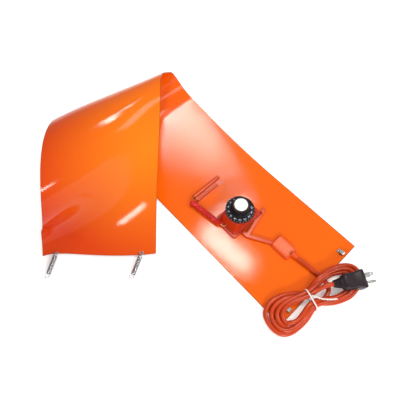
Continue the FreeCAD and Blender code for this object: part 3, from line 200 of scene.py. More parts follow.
def band_point(across, along, line):
    """A point of the band's floor side, in millimetres in the row frame."""
    x = across * math.cos(FOLD_ANGLE) - along * math.sin(FOLD_ANGLE)
    plan = across * math.sin(FOLD_ANGLE) + along * math.cos(FOLD_ANGLE)
    if plan <= FLAT_REACH:
        return Vector((x, plan, 0.0)) + STRIP_END
    step, places = line
    place = (plan - FLAT_REACH) / step
    index = min(int(place), len(places) - 2)
    share = place - index
    (y0, z0), (y1, z1) = places[index], places[index + 1]
    return Vector((x, y0 + (y1 - y0) * share, z0 + (z1 - z0) * share)) + STRIP_END


# Mesh helpers

def make_object(name, verts, faces, material, smooth=True):
    """An object with outward normals and one material, linked to the scene."""
    mesh = bpy.data.meshes.new(name)
    mesh.from_pydata([tuple(v) for v in verts], [], faces)
    mesh.validate()
    bm = bmesh.new()
    bm.from_mesh(mesh)
    bmesh.ops.recalc_face_normals(bm, faces=bm.faces)
    bm.to_mesh(mesh)
    bm.free()
    obj = bpy.data.objects.new(name, mesh)
    bpy.context.scene.collection.objects.link(obj)
    mesh.materials.append(material)
    if smooth:
        mesh.shade_smooth()
    return obj


def sharpen(obj, angle):
    """Edges that bend more than an angle keep a hard shading."""
    obj.data.set_sharp_from_angle(angle=math.radians(angle))
    return obj


def ring_mesh(rings, cap_start=True, cap_end=True):
    """Vertices and faces of a skin over closed rings with equal numbers of points."""
    count = len(rings[0])
    verts = [point for ring in rings for point in ring]
    faces = []
    for row in range(len(rings) - 1):
        for i in range(count):
            j = (i + 1) % count
            faces.append((row * count + i, row * count + j, (row + 1) * count + j, (row + 1) * count + i))
    if cap_start:
        faces.append(tuple(reversed(range(count))))
    if cap_end:
        faces.append(tuple(range((len(rings) - 1) * count, len(rings) * count)))
    return verts, faces


def rounded_ring(width, depth, radius, height, steps=8):
    """A rounded rectangle at a height, in millimetres."""
    radius = min(radius, width / 2, depth / 2)
    points = []
    for sx, sy, start in ((1, 1, 0), (-1, 1, 90), (-1, -1, 180), (1, -1, 270)):
        for step in range(steps):
            angle = math.radians(start + 90.0 * step / (steps - 1))
            points.append(Vector((sx * (width / 2 - radius) + radius * math.cos(angle),
                                  sy * (depth / 2 - radius) + radius * math.sin(angle), height)))
    return points


def round_ring(radius, height, count):
    """A circle at a height, in millimetres."""
    return [Vector((radius * math.cos(math.tau * i / count), radius * math.sin(math.tau * i / count), height))
            for i in range(count)]


def placed(points, matrix):
    """Points in millimetres taken to the row frame in metres."""
    return [matrix @ (point * MM) for point in points]


def tube_rings(points, radii, sides):
    """Rings of a round tube along points, without twist."""
    rings = []
    tangent = (points[1] - points[0]).normalized()
    side = tangent.orthogonal().normalized()
    for index, point in enumerate(points):
        ahead = points[min(index + 1, len(points) - 1)] - points[max(index - 1, 0)]
        new_tangent = ahead.normalized()
        side = (side - new_tangent * side.dot(new_tangent)).normalized()
        other = new_tangent.cross(side)
        radius = radii[index] if hasattr(radii, "__len__") else radii
        rings.append([point + (side * math.cos(math.tau * i / sides) + other * math.sin(math.tau * i / sides))
                      * radius for i in range(sides)])
    return rings


def smooth_points(controls, steps):
    """Points along a smooth curve through the controls."""
    padded = [controls[0] * 2 - controls[1]] + list(controls) + [controls[-1] * 2 - controls[-2]]
    points = []
    for index in range(1, len(padded) - 2):
        a, b, c, d = padded[index - 1:index + 3]
        for step in range(steps):
            t = step / steps
            points.append(0.5 * (2 * b + (c - a) * t + (2 * a - 5 * b + 4 * c - d) * t * t
                                 + (3 * b - a - 3 * c + d) * t ** 3))
    points.append(controls[-1].copy())
    return points


# Node groups: relief, tone and masks

def new_group(name, inputs, outputs):
    """A shader node group with its sockets, and its first and last nodes."""
    group = bpy.data.node_groups.new(name, "ShaderNodeTree")
    for label, kind, value in inputs:
        socket = group.interface.new_socket(label, in_out="INPUT", socket_type=kind)
        if value is not None:
            socket.default_value = value
    for label, kind in outputs:
        group.interface.new_socket(label, in_out="OUTPUT", socket_type=kind)
    return group, group.nodes.new("NodeGroupInput"), group.nodes.new("NodeGroupOutput")


def math_node(tree, operation, first, second=None, third=None):
    """The result of one sum on values or sockets."""
    node = tree.nodes.new("ShaderNodeMath")
    node.operation = operation
    for socket, value in zip(node.inputs, (first, second, third)):
        if value is None:
            continue
        if isinstance(value, (int, float)):
            socket.default_value = value
        else:
            tree.links.new(value, socket)
    return node.outputs[0]


def make_grain_group():
    """Fine and coarse noise as relief."""
    group, start, end = new_group(
        "grain_relief",
        (("Vector", "NodeSocketVector", None), ("Fine Scale", "NodeSocketFloat", 900.0),
         ("Coarse Scale", "NodeSocketFloat", 60.0), ("Strength", "NodeSocketFloat", 0.2),
         ("Distance", "NodeSocketFloat", 0.0004)),
        (("Normal", "NodeSocketVector"), ("Height", "NodeSocketFloat")))
    fine = group.nodes.new("ShaderNodeTexNoise")
    fine.inputs["Detail"].default_value = 2.0
    coarse = group.nodes.new("ShaderNodeTexNoise")
    coarse.inputs["Detail"].default_value = 1.0
    for node, scale in ((fine, "Fine Scale"), (coarse, "Coarse Scale")):
        group.links.new(start.outputs["Vector"], node.inputs["Vector"])
        group.links.new(start.outputs[scale], node.inputs["Scale"])
    height = math_node(group, "MULTIPLY_ADD", coarse.outputs[0], 0.6, fine.outputs[0])
    bump = group.nodes.new("ShaderNodeBump")
    group.links.new(height, bump.inputs["Height"])
    group.links.new(start.outputs["Strength"], bump.inputs["Strength"])
    group.links.new(start.outputs["Distance"], bump.inputs["Distance"])
    group.links.new(bump.outputs[0], end.inputs["Normal"])
    group.links.new(height, end.inputs["Height"])
    return group


def make_weave_group():
    """The imprint of a fabric: two crossed sets of threads, with broad unevenness."""
    group, start, end = new_group(
        "weave_relief",
        (("Vector", "NodeSocketVector", None), ("Threads", "NodeSocketFloat", 500.0),
         ("Strength", "NodeSocketFloat", 0.2), ("Distance", "NodeSocketFloat", 0.0003),
         ("Unevenness", "NodeSocketFloat", 0.5)),
        (("Normal", "NodeSocketVector"), ("Height", "NodeSocketFloat")))
    waves = []
    for direction in ("X", "Y"):
        wave = group.nodes.new("ShaderNodeTexWave")
        wave.bands_direction = direction
        wave.inputs["Distortion"].default_value = 1.2
        wave.inputs["Detail"].default_value = 1.0
        wave.inputs["Detail Scale"].default_value = 0.4
        group.links.new(start.outputs["Vector"], wave.inputs["Vector"])
        group.links.new(start.outputs["Threads"], wave.inputs["Scale"])
        waves.append(wave.outputs["Fac"])
    threads = math_node(group, "MULTIPLY", waves[0], waves[1])
    broad = group.nodes.new("ShaderNodeTexNoise")
    broad.inputs["Scale"].default_value = 260.0
    broad.inputs["Detail"].default_value = 3.0
    group.links.new(start.outputs["Vector"], broad.inputs["Vector"])
    uneven = math_node(group, "MULTIPLY", broad.outputs[0], start.outputs["Unevenness"])
    height = math_node(group, "ADD", threads, uneven)
    bump = group.nodes.new("ShaderNodeBump")
    group.links.new(height, bump.inputs["Height"])
    group.links.new(start.outputs["Strength"], bump.inputs["Strength"])
    group.links.new(start.outputs["Distance"], bump.inputs["Distance"])
    group.links.new(bump.outputs[0], end.inputs["Normal"])
    group.links.new(height, end.inputs["Height"])
    return group


def make_tone_group():
    """Two colours mixed by soft noise."""
    group, start, end = new_group(
        "tone_variation",
        (("Vector", "NodeSocketVector", None), ("Color A", "NodeSocketColor", None),
         ("Color B", "NodeSocketColor", None), ("Scale", "NodeSocketFloat", 12.0),
         ("Contrast", "NodeSocketFloat", 2.0)),
        (("Color", "NodeSocketColor"), ("Mask", "NodeSocketFloat")))
    noise = group.nodes.new("ShaderNodeTexNoise")
    noise.inputs["Detail"].default_value = 3.0
    group.links.new(start.outputs["Vector"], noise.inputs["Vector"])
    group.links.new(start.outputs["Scale"], noise.inputs["Scale"])
    centred = math_node(group, "SUBTRACT", noise.outputs[0], 0.5)
    spread = math_node(group, "MULTIPLY_ADD", centred, start.outputs["Contrast"], 0.5)
    mask = math_node(group, "MINIMUM", math_node(group, "MAXIMUM", spread, 0.0), 1.0)
    mix = group.nodes.new("ShaderNodeMix")
    mix.data_type = "RGBA"
    group.links.new(mask, mix.inputs["Factor"])
    group.links.new(start.outputs["Color A"], mix.inputs["A"])
    group.links.new(start.outputs["Color B"], mix.inputs["B"])
    group.links.new(mix.outputs["Result"], end.inputs["Color"])
    group.links.new(mask, end.inputs["Mask"])
    return group


def make_border_group():
    """A mask of the line along the band's two long sides and its ends, where painted shade goes."""
    group, start, end = new_group(
        "border_line",
        (("Across", "NodeSocketFloat", 0.0), ("Along", "NodeSocketFloat", 0.0),
         ("Half Width", "NodeSocketFloat", 0.1), ("Half Length", "NodeSocketFloat", 0.48),
         ("Line", "NodeSocketFloat", 0.0015)),
        (("Mask", "NodeSocketFloat"),))
    masks = []
    for coordinate, half in (("Across", "Half Width"), ("Along", "Half Length")):
        offset = math_node(group, "ABSOLUTE", start.outputs[coordinate])
        inner = math_node(group, "SUBTRACT", start.outputs[half], start.outputs["Line"])
        over = math_node(group, "SUBTRACT", offset, inner)
        masks.append(math_node(group, "DIVIDE", over, start.outputs["Line"]))
    mask = math_node(group, "MAXIMUM", masks[0], masks[1])
    clear = math_node(group, "MINIMUM", math_node(group, "MAXIMUM", mask, 0.0), 1.0)
    group.links.new(clear, end.inputs["Mask"])
    return group


def make_patch_group():
    """A mask that fades out from a centre."""
    group, start, end = new_group(
        "soft_patch",
        (("Vector", "NodeSocketVector", None), ("Centre", "NodeSocketVector", None),
         ("Radius", "NodeSocketFloat", 0.2)),
        (("Mask", "NodeSocketFloat"),))
    away = group.nodes.new("ShaderNodeVectorMath")
    away.operation = "DISTANCE"
    group.links.new(start.outputs["Vector"], away.inputs[0])
    group.links.new(start.outputs["Centre"], away.inputs[1])
    ratio = math_node(group, "DIVIDE", away.outputs["Value"], start.outputs["Radius"])
    left = math_node(group, "MAXIMUM", math_node(group, "SUBTRACT", 1.0, ratio), 0.0)
    eased = math_node(group, "SMOOTH_MIN", left, 1.0, 0.2)
    group.links.new(eased, end.inputs["Mask"])
    return group


GROUP_MAKERS = {"grain_relief": make_grain_group, "weave_relief": make_weave_group,
                "tone_variation": make_tone_group, "border_line": make_border_group,
                "soft_patch": make_patch_group}
GROUPS = {}


def group_node(tree, name, vector=None, **values):
    """A group placed in a material, with the material's own values."""
    if name not in GROUPS:
        GROUPS[name] = GROUP_MAKERS[name]()
    node = tree.nodes.new("ShaderNodeGroup")
    node.node_tree = GROUPS[name]
    if vector is not None:
        tree.links.new(vector, node.inputs["Vector"])
    for label, value in values.items():
        node.inputs[label.replace("_", " ")].default_value = value
    return node


# Materials

def new_material(name, roughness, metallic=0.0, specular=0.5):
    """A material, its tree and its shader."""
    material = bpy.data.materials.new(name)
    material.use_nodes = True
    shader = material.node_tree.nodes["Principled BSDF"]
    shader.inputs["Roughness"].default_value = roughness
    shader.inputs["Metallic"].default_value = metallic
    shader.inputs["Specular IOR Level"].default_value = specular
    return material, material.node_tree, shader


def object_vector(tree):
    """Places on the object itself."""
    return tree.nodes.new("ShaderNodeTexCoord").outputs["Object"]


def toned_material(name, color_a, color_b, roughness, tone_scale, grain, grain_scale, **shader_values):
    """A moulded or drawn surface with slight tone changes and fine relief."""
    material, tree, shader = new_material(name, roughness, **shader_values)
    vector = object_vector(tree)
    tone = group_node(tree, "tone_variation", vector, Scale=tone_scale)
    tone.inputs["Color A"].default_value = (*color_a, 1.0)
    tone.inputs["Color B"].default_value = (*color_b, 1.0)
    relief = group_node(tree, "grain_relief", vector, Fine_Scale=grain_scale, Strength=grain)
    tree.links.new(tone.outputs["Color"], shader.inputs["Base Color"])
    tree.links.new(relief.outputs["Normal"], shader.inputs["Normal"])
    return material


def patch_mix(tree, vector, base, centre, radius, color):
    """A colour that takes over from the base towards a centre."""
    mask = group_node(tree, "soft_patch", vector, Radius=radius)
    mask.inputs["Centre"].default_value = centre
    mix = tree.nodes.new("ShaderNodeMix")
    mix.data_type = "RGBA"
    mix.inputs["B"].default_value = (*color, 1.0)
    tree.links.new(mask.outputs["Mask"], mix.inputs["Factor"])
    tree.links.new(base, mix.inputs["A"])
    return mix.outputs["Result"]


# Painted shade: the flap's left and top are darkened in the colour, as if turned away from the key light
FLAP_SHADE_CENTRE = (-0.10, 0.84, 0.0)
FLAP_SHADE_RADIUS = 0.48
# Painted light: a brighter, yellower pool painted on the flap's right side, where the key light falls
FLAP_LIGHT_CENTRE = (0.085, 0.77, 0.0)
FLAP_LIGHT_RADIUS = 0.20
# Painted shade: a dark line painted along the band's cut edges, where the thin edge falls in shadow
EDGE_LINE = 0.0014


def band_material(settings):
    """Glossy silicone with the imprint of its fabric, painted shade on the flap's left side, a painted pool
    of light on its right side, and a darker line of painted shade along its cut edges.
    """
    material, tree, shader = new_material("band_silicone", settings.roughness, specular=0.22)
    coordinates = tree.nodes.new("ShaderNodeUVMap")
    coordinates.uv_map = "sheet"
    vector = coordinates.outputs[0]
    tone = group_node(tree, "tone_variation", vector, Scale=7.0, Contrast=1.6)
    tone.inputs["Color A"].default_value = (*settings.color, 1.0)
    tone.inputs["Color B"].default_value = (*settings.color_deep, 1.0)
    split = tree.nodes.new("ShaderNodeSeparateXYZ")
    tree.links.new(vector, split.inputs[0])
    centred = math_node(tree, "SUBTRACT", split.outputs["Y"], BAND_LENGTH * MM / 2)
    # Painted shade darkens the flap's left side
    shade = patch_mix(tree, vector, tone.outputs["Color"], FLAP_SHADE_CENTRE, FLAP_SHADE_RADIUS,
                      settings.flap_shade_color)
    # Painted light brightens the flap's right side
    flap_light = patch_mix(tree, vector, shade, FLAP_LIGHT_CENTRE, FLAP_LIGHT_RADIUS, settings.flap_light_color)
    border = group_node(tree, "border_line", None, Half_Width=BAND_WIDTH * MM / 2,
                        Half_Length=BAND_LENGTH * MM / 2, Line=EDGE_LINE)
    tree.links.new(split.outputs["X"], border.inputs["Across"])
    tree.links.new(centred, border.inputs["Along"])
    # Painted shade along the cut edges
    mix = tree.nodes.new("ShaderNodeMix")
    mix.data_type = "RGBA"
    mix.inputs["B"].default_value = (*settings.edge_shade_color, 1.0)
    tree.links.new(border.outputs["Mask"], mix.inputs["Factor"])
    tree.links.new(flap_light, mix.inputs["A"])
    tree.links.new(mix.outputs["Result"], shader.inputs["Base Color"])
    weave = group_node(tree, "weave_relief", vector, Threads=settings.threads, Strength=settings.relief,
                       Distance=0.00025, Unevenness=0.8)
    tree.links.new(weave.outputs["Normal"], shader.inputs["Normal"])
    return material


# Name, two tones, roughness, tone scale, relief, relief scale, other shader values
FINISHES = (
    # The rim's darker tones are painted shade on the band's cut edges
    ("rim", (0.42, 0.085, 0.012), (0.30, 0.06, 0.01), 0.45, 40.0, 0.2, 1500.0, {}),
    ("moulded", (0.62, 0.068, 0.006), (0.54, 0.050, 0.005), 0.20, 30.0, 0.08, 1100.0, {"specular": 0.3}),
    ("boot", (0.52, 0.036, 0.006), (0.44, 0.024, 0.005), 0.20, 25.0, 0.08, 1200.0, {"specular": 0.35}),
    ("patch", (0.74, 0.088, 0.012), (0.66, 0.070, 0.010), 0.30, 60.0, 0.35, 900.0, {"specular": 0.3}),
    ("patch_grain", (0.84, 0.17, 0.06), (0.70, 0.10, 0.03), 0.40, 420.0, 0.8, 700.0, {"specular": 0.4}),
    ("sleeve", (0.62, 0.010, 0.010), (0.44, 0.005, 0.006), 0.22, 120.0, 0.3, 700.0, {"specular": 0.4}),
    ("jacket", (0.54, 0.050, 0.006), (0.42, 0.034, 0.005), 0.25, 45.0, 0.08, 1500.0, {"specular": 0.35}),
    ("plug", (0.012, 0.006, 0.010), (0.020, 0.011, 0.017), 0.36, 60.0, 0.15, 1400.0, {"specular": 0.25}),
    ("dial", (0.006, 0.006, 0.008), (0.010, 0.009, 0.013), 0.28, 50.0, 0.05, 1500.0, {"specular": 0.2}),
    ("white", (0.95, 0.95, 0.95), (0.92, 0.92, 0.93), 0.30, 30.0, 0.05, 1200.0, {}),
    ("marks", (0.58, 0.62, 0.74), (0.46, 0.50, 0.62), 0.45, 300.0, 0.10, 1500.0, {}),
    ("tie", (0.84, 0.82, 0.80), (0.76, 0.72, 0.70), 0.50, 200.0, 0.20, 1500.0, {}),
    ("switch", (0.05, 0.045, 0.04), (0.08, 0.07, 0.06), 0.50, 60.0, 0.20, 1200.0, {}),
    ("braid", (0.62, 0.58, 0.50), (0.50, 0.46, 0.38), 0.70, 300.0, 0.40, 2200.0, {}),
    ("steel", (0.50, 0.49, 0.47), (0.40, 0.39, 0.38), 0.26, 90.0, 0.10, 1800.0, {"metallic": 1.0}),
    ("spring", (0.50, 0.50, 0.53), (0.36, 0.36, 0.40), 0.18, 150.0, 0.05, 1800.0, {"metallic": 1.0}),
    ("copper", (0.70, 0.32, 0.16), (0.58, 0.25, 0.12), 0.32, 90.0, 0.10, 1500.0, {"metallic": 1.0}),
)
MATERIALS = {}


def make_materials(settings):
    """All materials by name."""
    MATERIALS["band"] = band_material(settings)
    for name, color_a, color_b, roughness, tone, grain, scale, extra in FINISHES:
        MATERIALS[name] = toned_material(name, color_a, color_b, roughness, tone, grain, scale, **extra)


NODE_MATERIALS = {
    "thermostat_cover": "boot", "thermostat_body": "switch", "thermostat_bracket": "steel",
    "bracket_screws": "steel", "diaphragm_cup": "copper", "shaft_bushing": "steel", "bushing_nut": "steel",
    "control_shaft": "steel", "temperature_dial": "dial", "dial_cap": "white", "capillary_tube": "copper",
    "capillary_sleeve": "sleeve", "sensing_bulb": "copper", "sensor_cover": "moulded",
    "lead_cover": "moulded", "heater_leads": "braid", "cord_patch": "patch", "power_cord": "jacket",
    "cord_hank": "jacket", "cord_tail": "jacket", "twist_tie": "tie", "plug_body": "plug",
    "plug_blades": "steel", "ground_pin": "steel", "left_eyelet": "steel", "right_eyelet": "steel",
    "left_spring": "spring", "right_spring": "spring", "left_catch": "steel", "right_catch": "steel",
    "catch_rivets": "steel", "heating_band": "band",
}


def dress_nodes():
    """Give every CAD node its material."""
    for name, material in NODE_MATERIALS.items():
        node = frame["nodes"][name]
        node.data.materials.clear()
        node.data.materials.append(MATERIALS[material])


# The band

def build_band(settings):
    """The folded sheet with its rim, both sides."""
    columns, rows = settings.columns, settings.rows
    lines = [soft_line(i / columns) for i in range(columns + 1)]
    inner, outer, flat = [], [], []
    for i in range(columns + 1):
        across = (i / columns - 0.5) * BAND_WIDTH
        column = [band_point(across, BAND_LENGTH * j / rows, lines[i]) for j in range(rows + 1)]
        inner.append(column)
        flat.append([(across * MM, BAND_LENGTH * MM * j / rows) for j in range(rows + 1)])
    for i in range(columns + 1):
        column = []
        for j in range(rows + 1):
            x_axis = inner[min(i + 1, columns)][j] - inner[max(i - 1, 0)][j]
            y_axis = inner[i][min(j + 1, rows)] - inner[i][max(j - 1, 0)]
            normal = x_axis.cross(y_axis).normalized()
            column.append(inner[i][j] + normal * BAND_THICKNESS)
        outer.append(column)
    count = (columns + 1) * (rows + 1)
    verts = [point * MM for column in inner for point in column]
    verts += [point * MM for column in outer for point in column]
    places = [place for column in flat for place in column] * 2

    def at(i, j, side):
        return side * count + i * (rows + 1) + j

    faces = []
    for i in range(columns):
        for j in range(rows):
            faces.append((at(i, j, 1), at(i + 1, j, 1), at(i + 1, j + 1, 1), at(i, j + 1, 1)))
            faces.append((at(i, j, 0), at(i, j + 1, 0), at(i + 1, j + 1, 0), at(i + 1, j, 0)))
    sheet_faces = len(faces)
    for i in range(columns):
        for j, flip in ((0, False), (rows, True)):
            rim = (at(i, j, 0), at(i + 1, j, 0), at(i + 1, j, 1), at(i, j, 1))
            faces.append(rim[::-1] if flip else rim)
    for j in range(rows):
        for i, flip in ((0, True), (columns, False)):
            rim = (at(i, j, 0), at(i, j + 1, 0), at(i, j + 1, 1), at(i, j, 1))
            faces.append(rim[::-1] if flip else rim)
    mesh = bpy.data.meshes.new("silicone_band")
    mesh.from_pydata([tuple(v) for v in verts], [], faces)
    mesh.materials.append(MATERIALS["band"])
    mesh.materials.append(MATERIALS["rim"])
    layer = mesh.uv_layers.new(name="sheet")
    for polygon in mesh.polygons:
        polygon.material_index = 0 if polygon.index < sheet_faces else 1
        for loop in polygon.loop_indices:
            layer.data[loop].uv = places[mesh.loops[loop].vertex_index]
    mesh.shade_smooth()
    mesh.set_sharp_from_angle(angle=math.radians(50))
    band = bpy.data.objects.new("silicone_band", mesh)
    bpy.context.scene.collection.objects.link(band)
    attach(band, "band")
    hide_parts("heating_band")
    return band


# The mains lead

# The hank's outer turn, across and along the band: its two lobes, and how much each place fans out
LEFT_LOBE = ((-61.3, -22.7), (-80.4, -21.9), (-96.8, -19.1), (-109.6, -11.3), (-114.6, 3.6), (-112.6, 18.4),
             (-106.9, 30.3), (-95.1, 36.7), (-75.7, 36.4), (-51.0, 24.8))
RIGHT_LOBE = ((-14.6, 8.0), (9.1, 8.2), (31.9, 4.3), (54.7, -5.7), (66.3, -18.9), (65.9, -33.1),
              (52.0, -46.0), (24.9, -49.6), (6.9, -44.0), (-13.3, -33.2))
LEFT_SPREAD = (0.6, 0.8, 1.0, 1.0, 1.0, 1.0, 1.0, 0.9, 0.75, 0.5)
RIGHT_SPREAD = (0.4, 0.6, 0.8, 1.0, 1.0, 1.0, 1.0, 0.9, 0.7, 0.5)
LEFT_MIDDLE = Vector((-84.0, -3.0))
LEFT_RADIUS = 32.0
RIGHT_MIDDLE = Vector((27.0, -21.0))
RIGHT_RADIUS = 36.0
CROWDED_SPACING = 9.0
CROWDED_LIFT = 8.0
LEAD_START = (4.3, 71.0)
LEAD_GAP = 0.15
EDGE_RAMP = 8.0


def rest_height(across, along, radius):
    """Height of the lead's middle where it lies on the band, or on the floor beyond the band's end."""
    over_end = min(max((along + EDGE_RAMP / 4) / EDGE_RAMP, 0.0), 1.0)
    over_side = min(max((BAND_WIDTH / 2 + EDGE_RAMP / 2 - abs(across)) / EDGE_RAMP, 0.0), 1.0)
    return radius + LEAD_GAP + BAND_THICKNESS * over_end * over_side


def waist_point(offset, height):
    """A point under the tie, at an offset from the middle of the bundle."""
    top, bottom = Vector(TIE_TOP), Vector(TIE_BOTTOM)
    place = (top + bottom) / 2 + (top - bottom).normalized() * offset
    return (place.x, place.y, height)


def nested(place, middle, share, turn):
    """A place of a lobe drawn in towards the lobe's middle, with its lift where the turns crowd."""
    away = Vector(place) - middle
    across, along = middle + away * max(1.0 - share * turn, 0.1)
    crowding = max(0.0, 1.0 - away.length * share / CROWDED_SPACING)
    return across, along, crowding * CROWDED_LIFT * (turn % 2)


def lead_route(settings):
    """Control points of the lead in band coordinates, with heights over the surface."""
    radius = settings.diameter / 2 / MM
    low = rest_height(0.0, 20.0, radius)
    high = low + radius * 1.85
    route = [(*LEAD_START, low), (4.9, 58.0, low), (7.6, 36.0, low), (9.6, 14.0, low),
             (10.2, -2.0, low - 1.0), (5.5, -15.0, low - 1.2), (-7.5, -21.5, low - 1.2)]
    bottoms = ((-12.0, low - 0.8), (-4.0, low - 0.8), (-9.0, high), (-1.0, high))
    tops = ((12.0, low), (4.0, low), (13.0, high), (6.5, high + 0.6))
    for turn in range(settings.turns):
        route.append(waist_point(*bottoms[turn]))
        stack = min(radius * 1.75 * turn, high - low)
        for place, spread in zip(LEFT_LOBE, LEFT_SPREAD):
            share = settings.fan / MM * spread / LEFT_RADIUS
            across, along, crowd = nested(place, LEFT_MIDDLE, share, turn)
            lift = max(stack * (1.0 - spread), crowd)
            route.append((across, along, rest_height(across, along, radius) + lift))
        route.append(waist_point(*tops[turn]))
        if turn == settings.turns - 1:
            break
        for place, spread in zip(RIGHT_LOBE, RIGHT_SPREAD):
            share = settings.fan / MM * spread / RIGHT_RADIUS
            across, along, crowd = nested(place, RIGHT_MIDDLE, share, turn)
            crossing = max(0.0, 1.0 - abs(across - 9.0) / 26.0) if place[1] > 0.0 else 0.0
            lift = max(stack * (1.0 - spread), crossing * radius * 2.1, crowd)
            route.append((across, along, rest_height(across, along, radius) + lift))
    route += [(-17.0, -2.5, high + 2.0), (-4.5, -6.6, PLUG_HEIGHT - 2.0), (2.8, -10.3, PLUG_HEIGHT - 0.4),
              (*PLUG_NECK, PLUG_HEIGHT), (PLUG_NECK[0] + 5.0, PLUG_NECK[1] - 3.3, PLUG_HEIGHT)]
    return [on_band(*point) for point in route]


def build_lead(settings, plug_pieces):
    """The mains lead as one smooth spline, from the patch through the tied hank to the plug."""
    curve = bpy.data.curves.new("mains_lead", "CURVE")
    curve.dimensions = "3D"
    route = lead_route(settings)
    spline = curve.splines.new("NURBS")
    spline.points.add(len(route) - 1)
    for point, place in zip(spline.points, route):
        point.co = (*place, 1.0)
    spline.order_u = 3
    spline.use_endpoint_u = True
    spline.resolution_u = 8
    curve.bevel_depth = settings.diameter / 2
    curve.bevel_resolution = 5
    curve.use_fill_caps = True
    curve.materials.append(MATERIALS["jacket"])
    lead = bpy.data.objects.new("mains_lead", curve)
    bpy.context.scene.collection.objects.link(lead)
    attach(lead, "band")
    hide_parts("power_cord", "cord_hank", "cord_tail")
    return lead


def build_tie(settings):
    """A white wire tie round the hank, with its two ends twisted together."""
    top, bottom = on_band(*TIE_TOP), on_band(*TIE_BOTTOM)
    across = (top - bottom).normalized()
    along = Vector((across.y, -across.x, 0.0))
    middle = (top + bottom) / 2
    half_width, low, high = 0.0182, 0.0012, 0.0186
    loop = []
    for point in rounded_ring(half_width * 2 / MM, (high - low) / MM, 6.5, 0.0, 7):
        loop.append(middle + across * point.x * MM + Vector((0, 0, (low + high) / 2 + point.y * MM)))
    centre = middle + Vector((0, 0, (low + high) / 2))
    half_ribbon, thickness = settings.tie_width / 2, 0.0006
    rings = []
    for index, point in enumerate(loop):
        outward = (loop[(index + 1) % len(loop)] - loop[index - 1]).normalized().cross(along)
        outward = outward if outward.dot(point - centre) > 0 else -outward
        rings.append([point - along * half_ribbon, point - along * half_ribbon * 0.5 + outward * thickness,
                      point + along * half_ribbon * 0.5 + outward * thickness, point + along * half_ribbon,
                      point - outward * thickness * 0.5])
    rings.append(rings[0])
    verts, faces = ring_mesh(rings, False, False)
    controls = [on_band(-31.6, -2.0, high / MM + 0.9), on_band(-27.5, -9.5, high / MM + 1.6),
                on_band(-22.0, -18.5, high / MM + 1.2), on_band(-13.5, -27.0, high / MM - 0.5),
                on_band(-3.8, -34.4, high / MM - 2.0)]
    spine = smooth_points(controls, 20)
    for phase in (0.0, math.pi):
        frames = tube_rings(spine, 0.0008, 24)
        strand = []
        for index, ring in enumerate(frames):
            angle = phase + index * 0.42
            strand.append(ring[int(round(angle / math.tau * 24)) % 24])
        more_verts, more_faces = ring_mesh(tube_rings(strand, 0.0007, 8))
        offset = len(verts)
        verts += more_verts
        faces += [tuple(i + offset for i in face) for face in more_faces]
    tie = make_object("wire_tie", verts, faces, MATERIALS["tie"])
    sharpen(tie, 40)
    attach(tie, "band")
    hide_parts("twist_tie")
    return tie


# Along the plug from its neck: reach, width, height, corner radius
RELIEF_START = ((0.0, 9.6, 9.6, 4.8), (0.4, 11.0, 11.0, 5.5))
RELIEF_RIB = ((0.0, 12.2, 11.8, 5.8), (1.3, 12.2, 11.8, 5.8), (1.6, 11.0, 10.6, 5.1), (2.3, 11.0, 10.6, 5.1))
RELIEF_RIBS = 5
RELIEF_START_REACH = 1.0
RELIEF_PITCH = 2.6
RELIEF_GROWTH = 1.2
PLUG_SECTIONS = (
    (14.2, 18.5, 15.6, 6.0), (16.0, 22.5, 17.8, 6.0), (18.5, 25.0, 20.0, 5.5), (21.0, 26.4, 21.0, 5.0),
    (26.0, 26.0, 20.6, 4.6), (33.0, 25.4, 20.4, 4.4), (39.0, 27.0, 21.6, 4.2), (43.0, 29.6, 23.4, 4.0),
    (46.0, 31.0, 24.8, 3.8), (50.6, 31.2, 25.0, 3.6), (51.6, 30.4, 24.2, 3.2), (52.0, 28.8, 22.6, 2.6))
GRIP_RIBS = 6
GRIP_START = 23.0
GRIP_PITCH = 3.1


def build_plug():
    """The moulded plug with a ribbed strain relief and a waisted grip."""
    matrix = Matrix.Translation(on_band(PLUG_NECK[0], PLUG_NECK[1], PLUG_HEIGHT))
    matrix = matrix @ Matrix.Rotation(PLUG_TURN, 4, "Z")
    axes = Matrix(((0, 0, 1, 0), (1, 0, 0, 0), (0, 1, 0, 0), (0, 0, 0, 1)))
    sections = list(RELIEF_START)
    for rib in range(RELIEF_RIBS):
        start = RELIEF_START_REACH + rib * RELIEF_PITCH
        grow = rib * RELIEF_GROWTH
        for reach, wide, tall, radius in RELIEF_RIB:
            sections.append((start + reach, wide + grow, tall + grow, radius))
    sections += PLUG_SECTIONS
    rings = [placed(rounded_ring(wide, tall, radius, reach, 7), matrix @ axes)
             for reach, wide, tall, radius in sections]
    body = make_object("plug_moulding", *ring_mesh(rings), MATERIALS["plug"])
    sharpen(body, 38)
    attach(body, "band")
    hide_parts("plug_body")
    ribs = []
    for side in (-1, 1):
        for index in range(GRIP_RIBS):
            reach = GRIP_START + index * GRIP_PITCH
            half = 13.05 - 0.25 * math.sin(math.pi * (reach - 21.0) / 20.0)
            points = [Vector((side * (half + 0.15), height, reach)) for height in (-7.0, -3.5, 0.0, 3.5, 7.0)]
            ribs.append(tube_rings(points, 0.75, 8))
    verts, faces = [], []
    for rings in ribs:
        more_verts, more_faces = ring_mesh(rings)
        offset = len(verts)
        verts += placed(more_verts, matrix @ axes)
        faces += [tuple(i + offset for i in face) for face in more_faces]
    grip = make_object("plug_grip_ribs", verts, faces, MATERIALS["plug"])
    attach(grip, "band")
    return [body, grip, "plug_blades", "ground_pin"]


# Thermostat

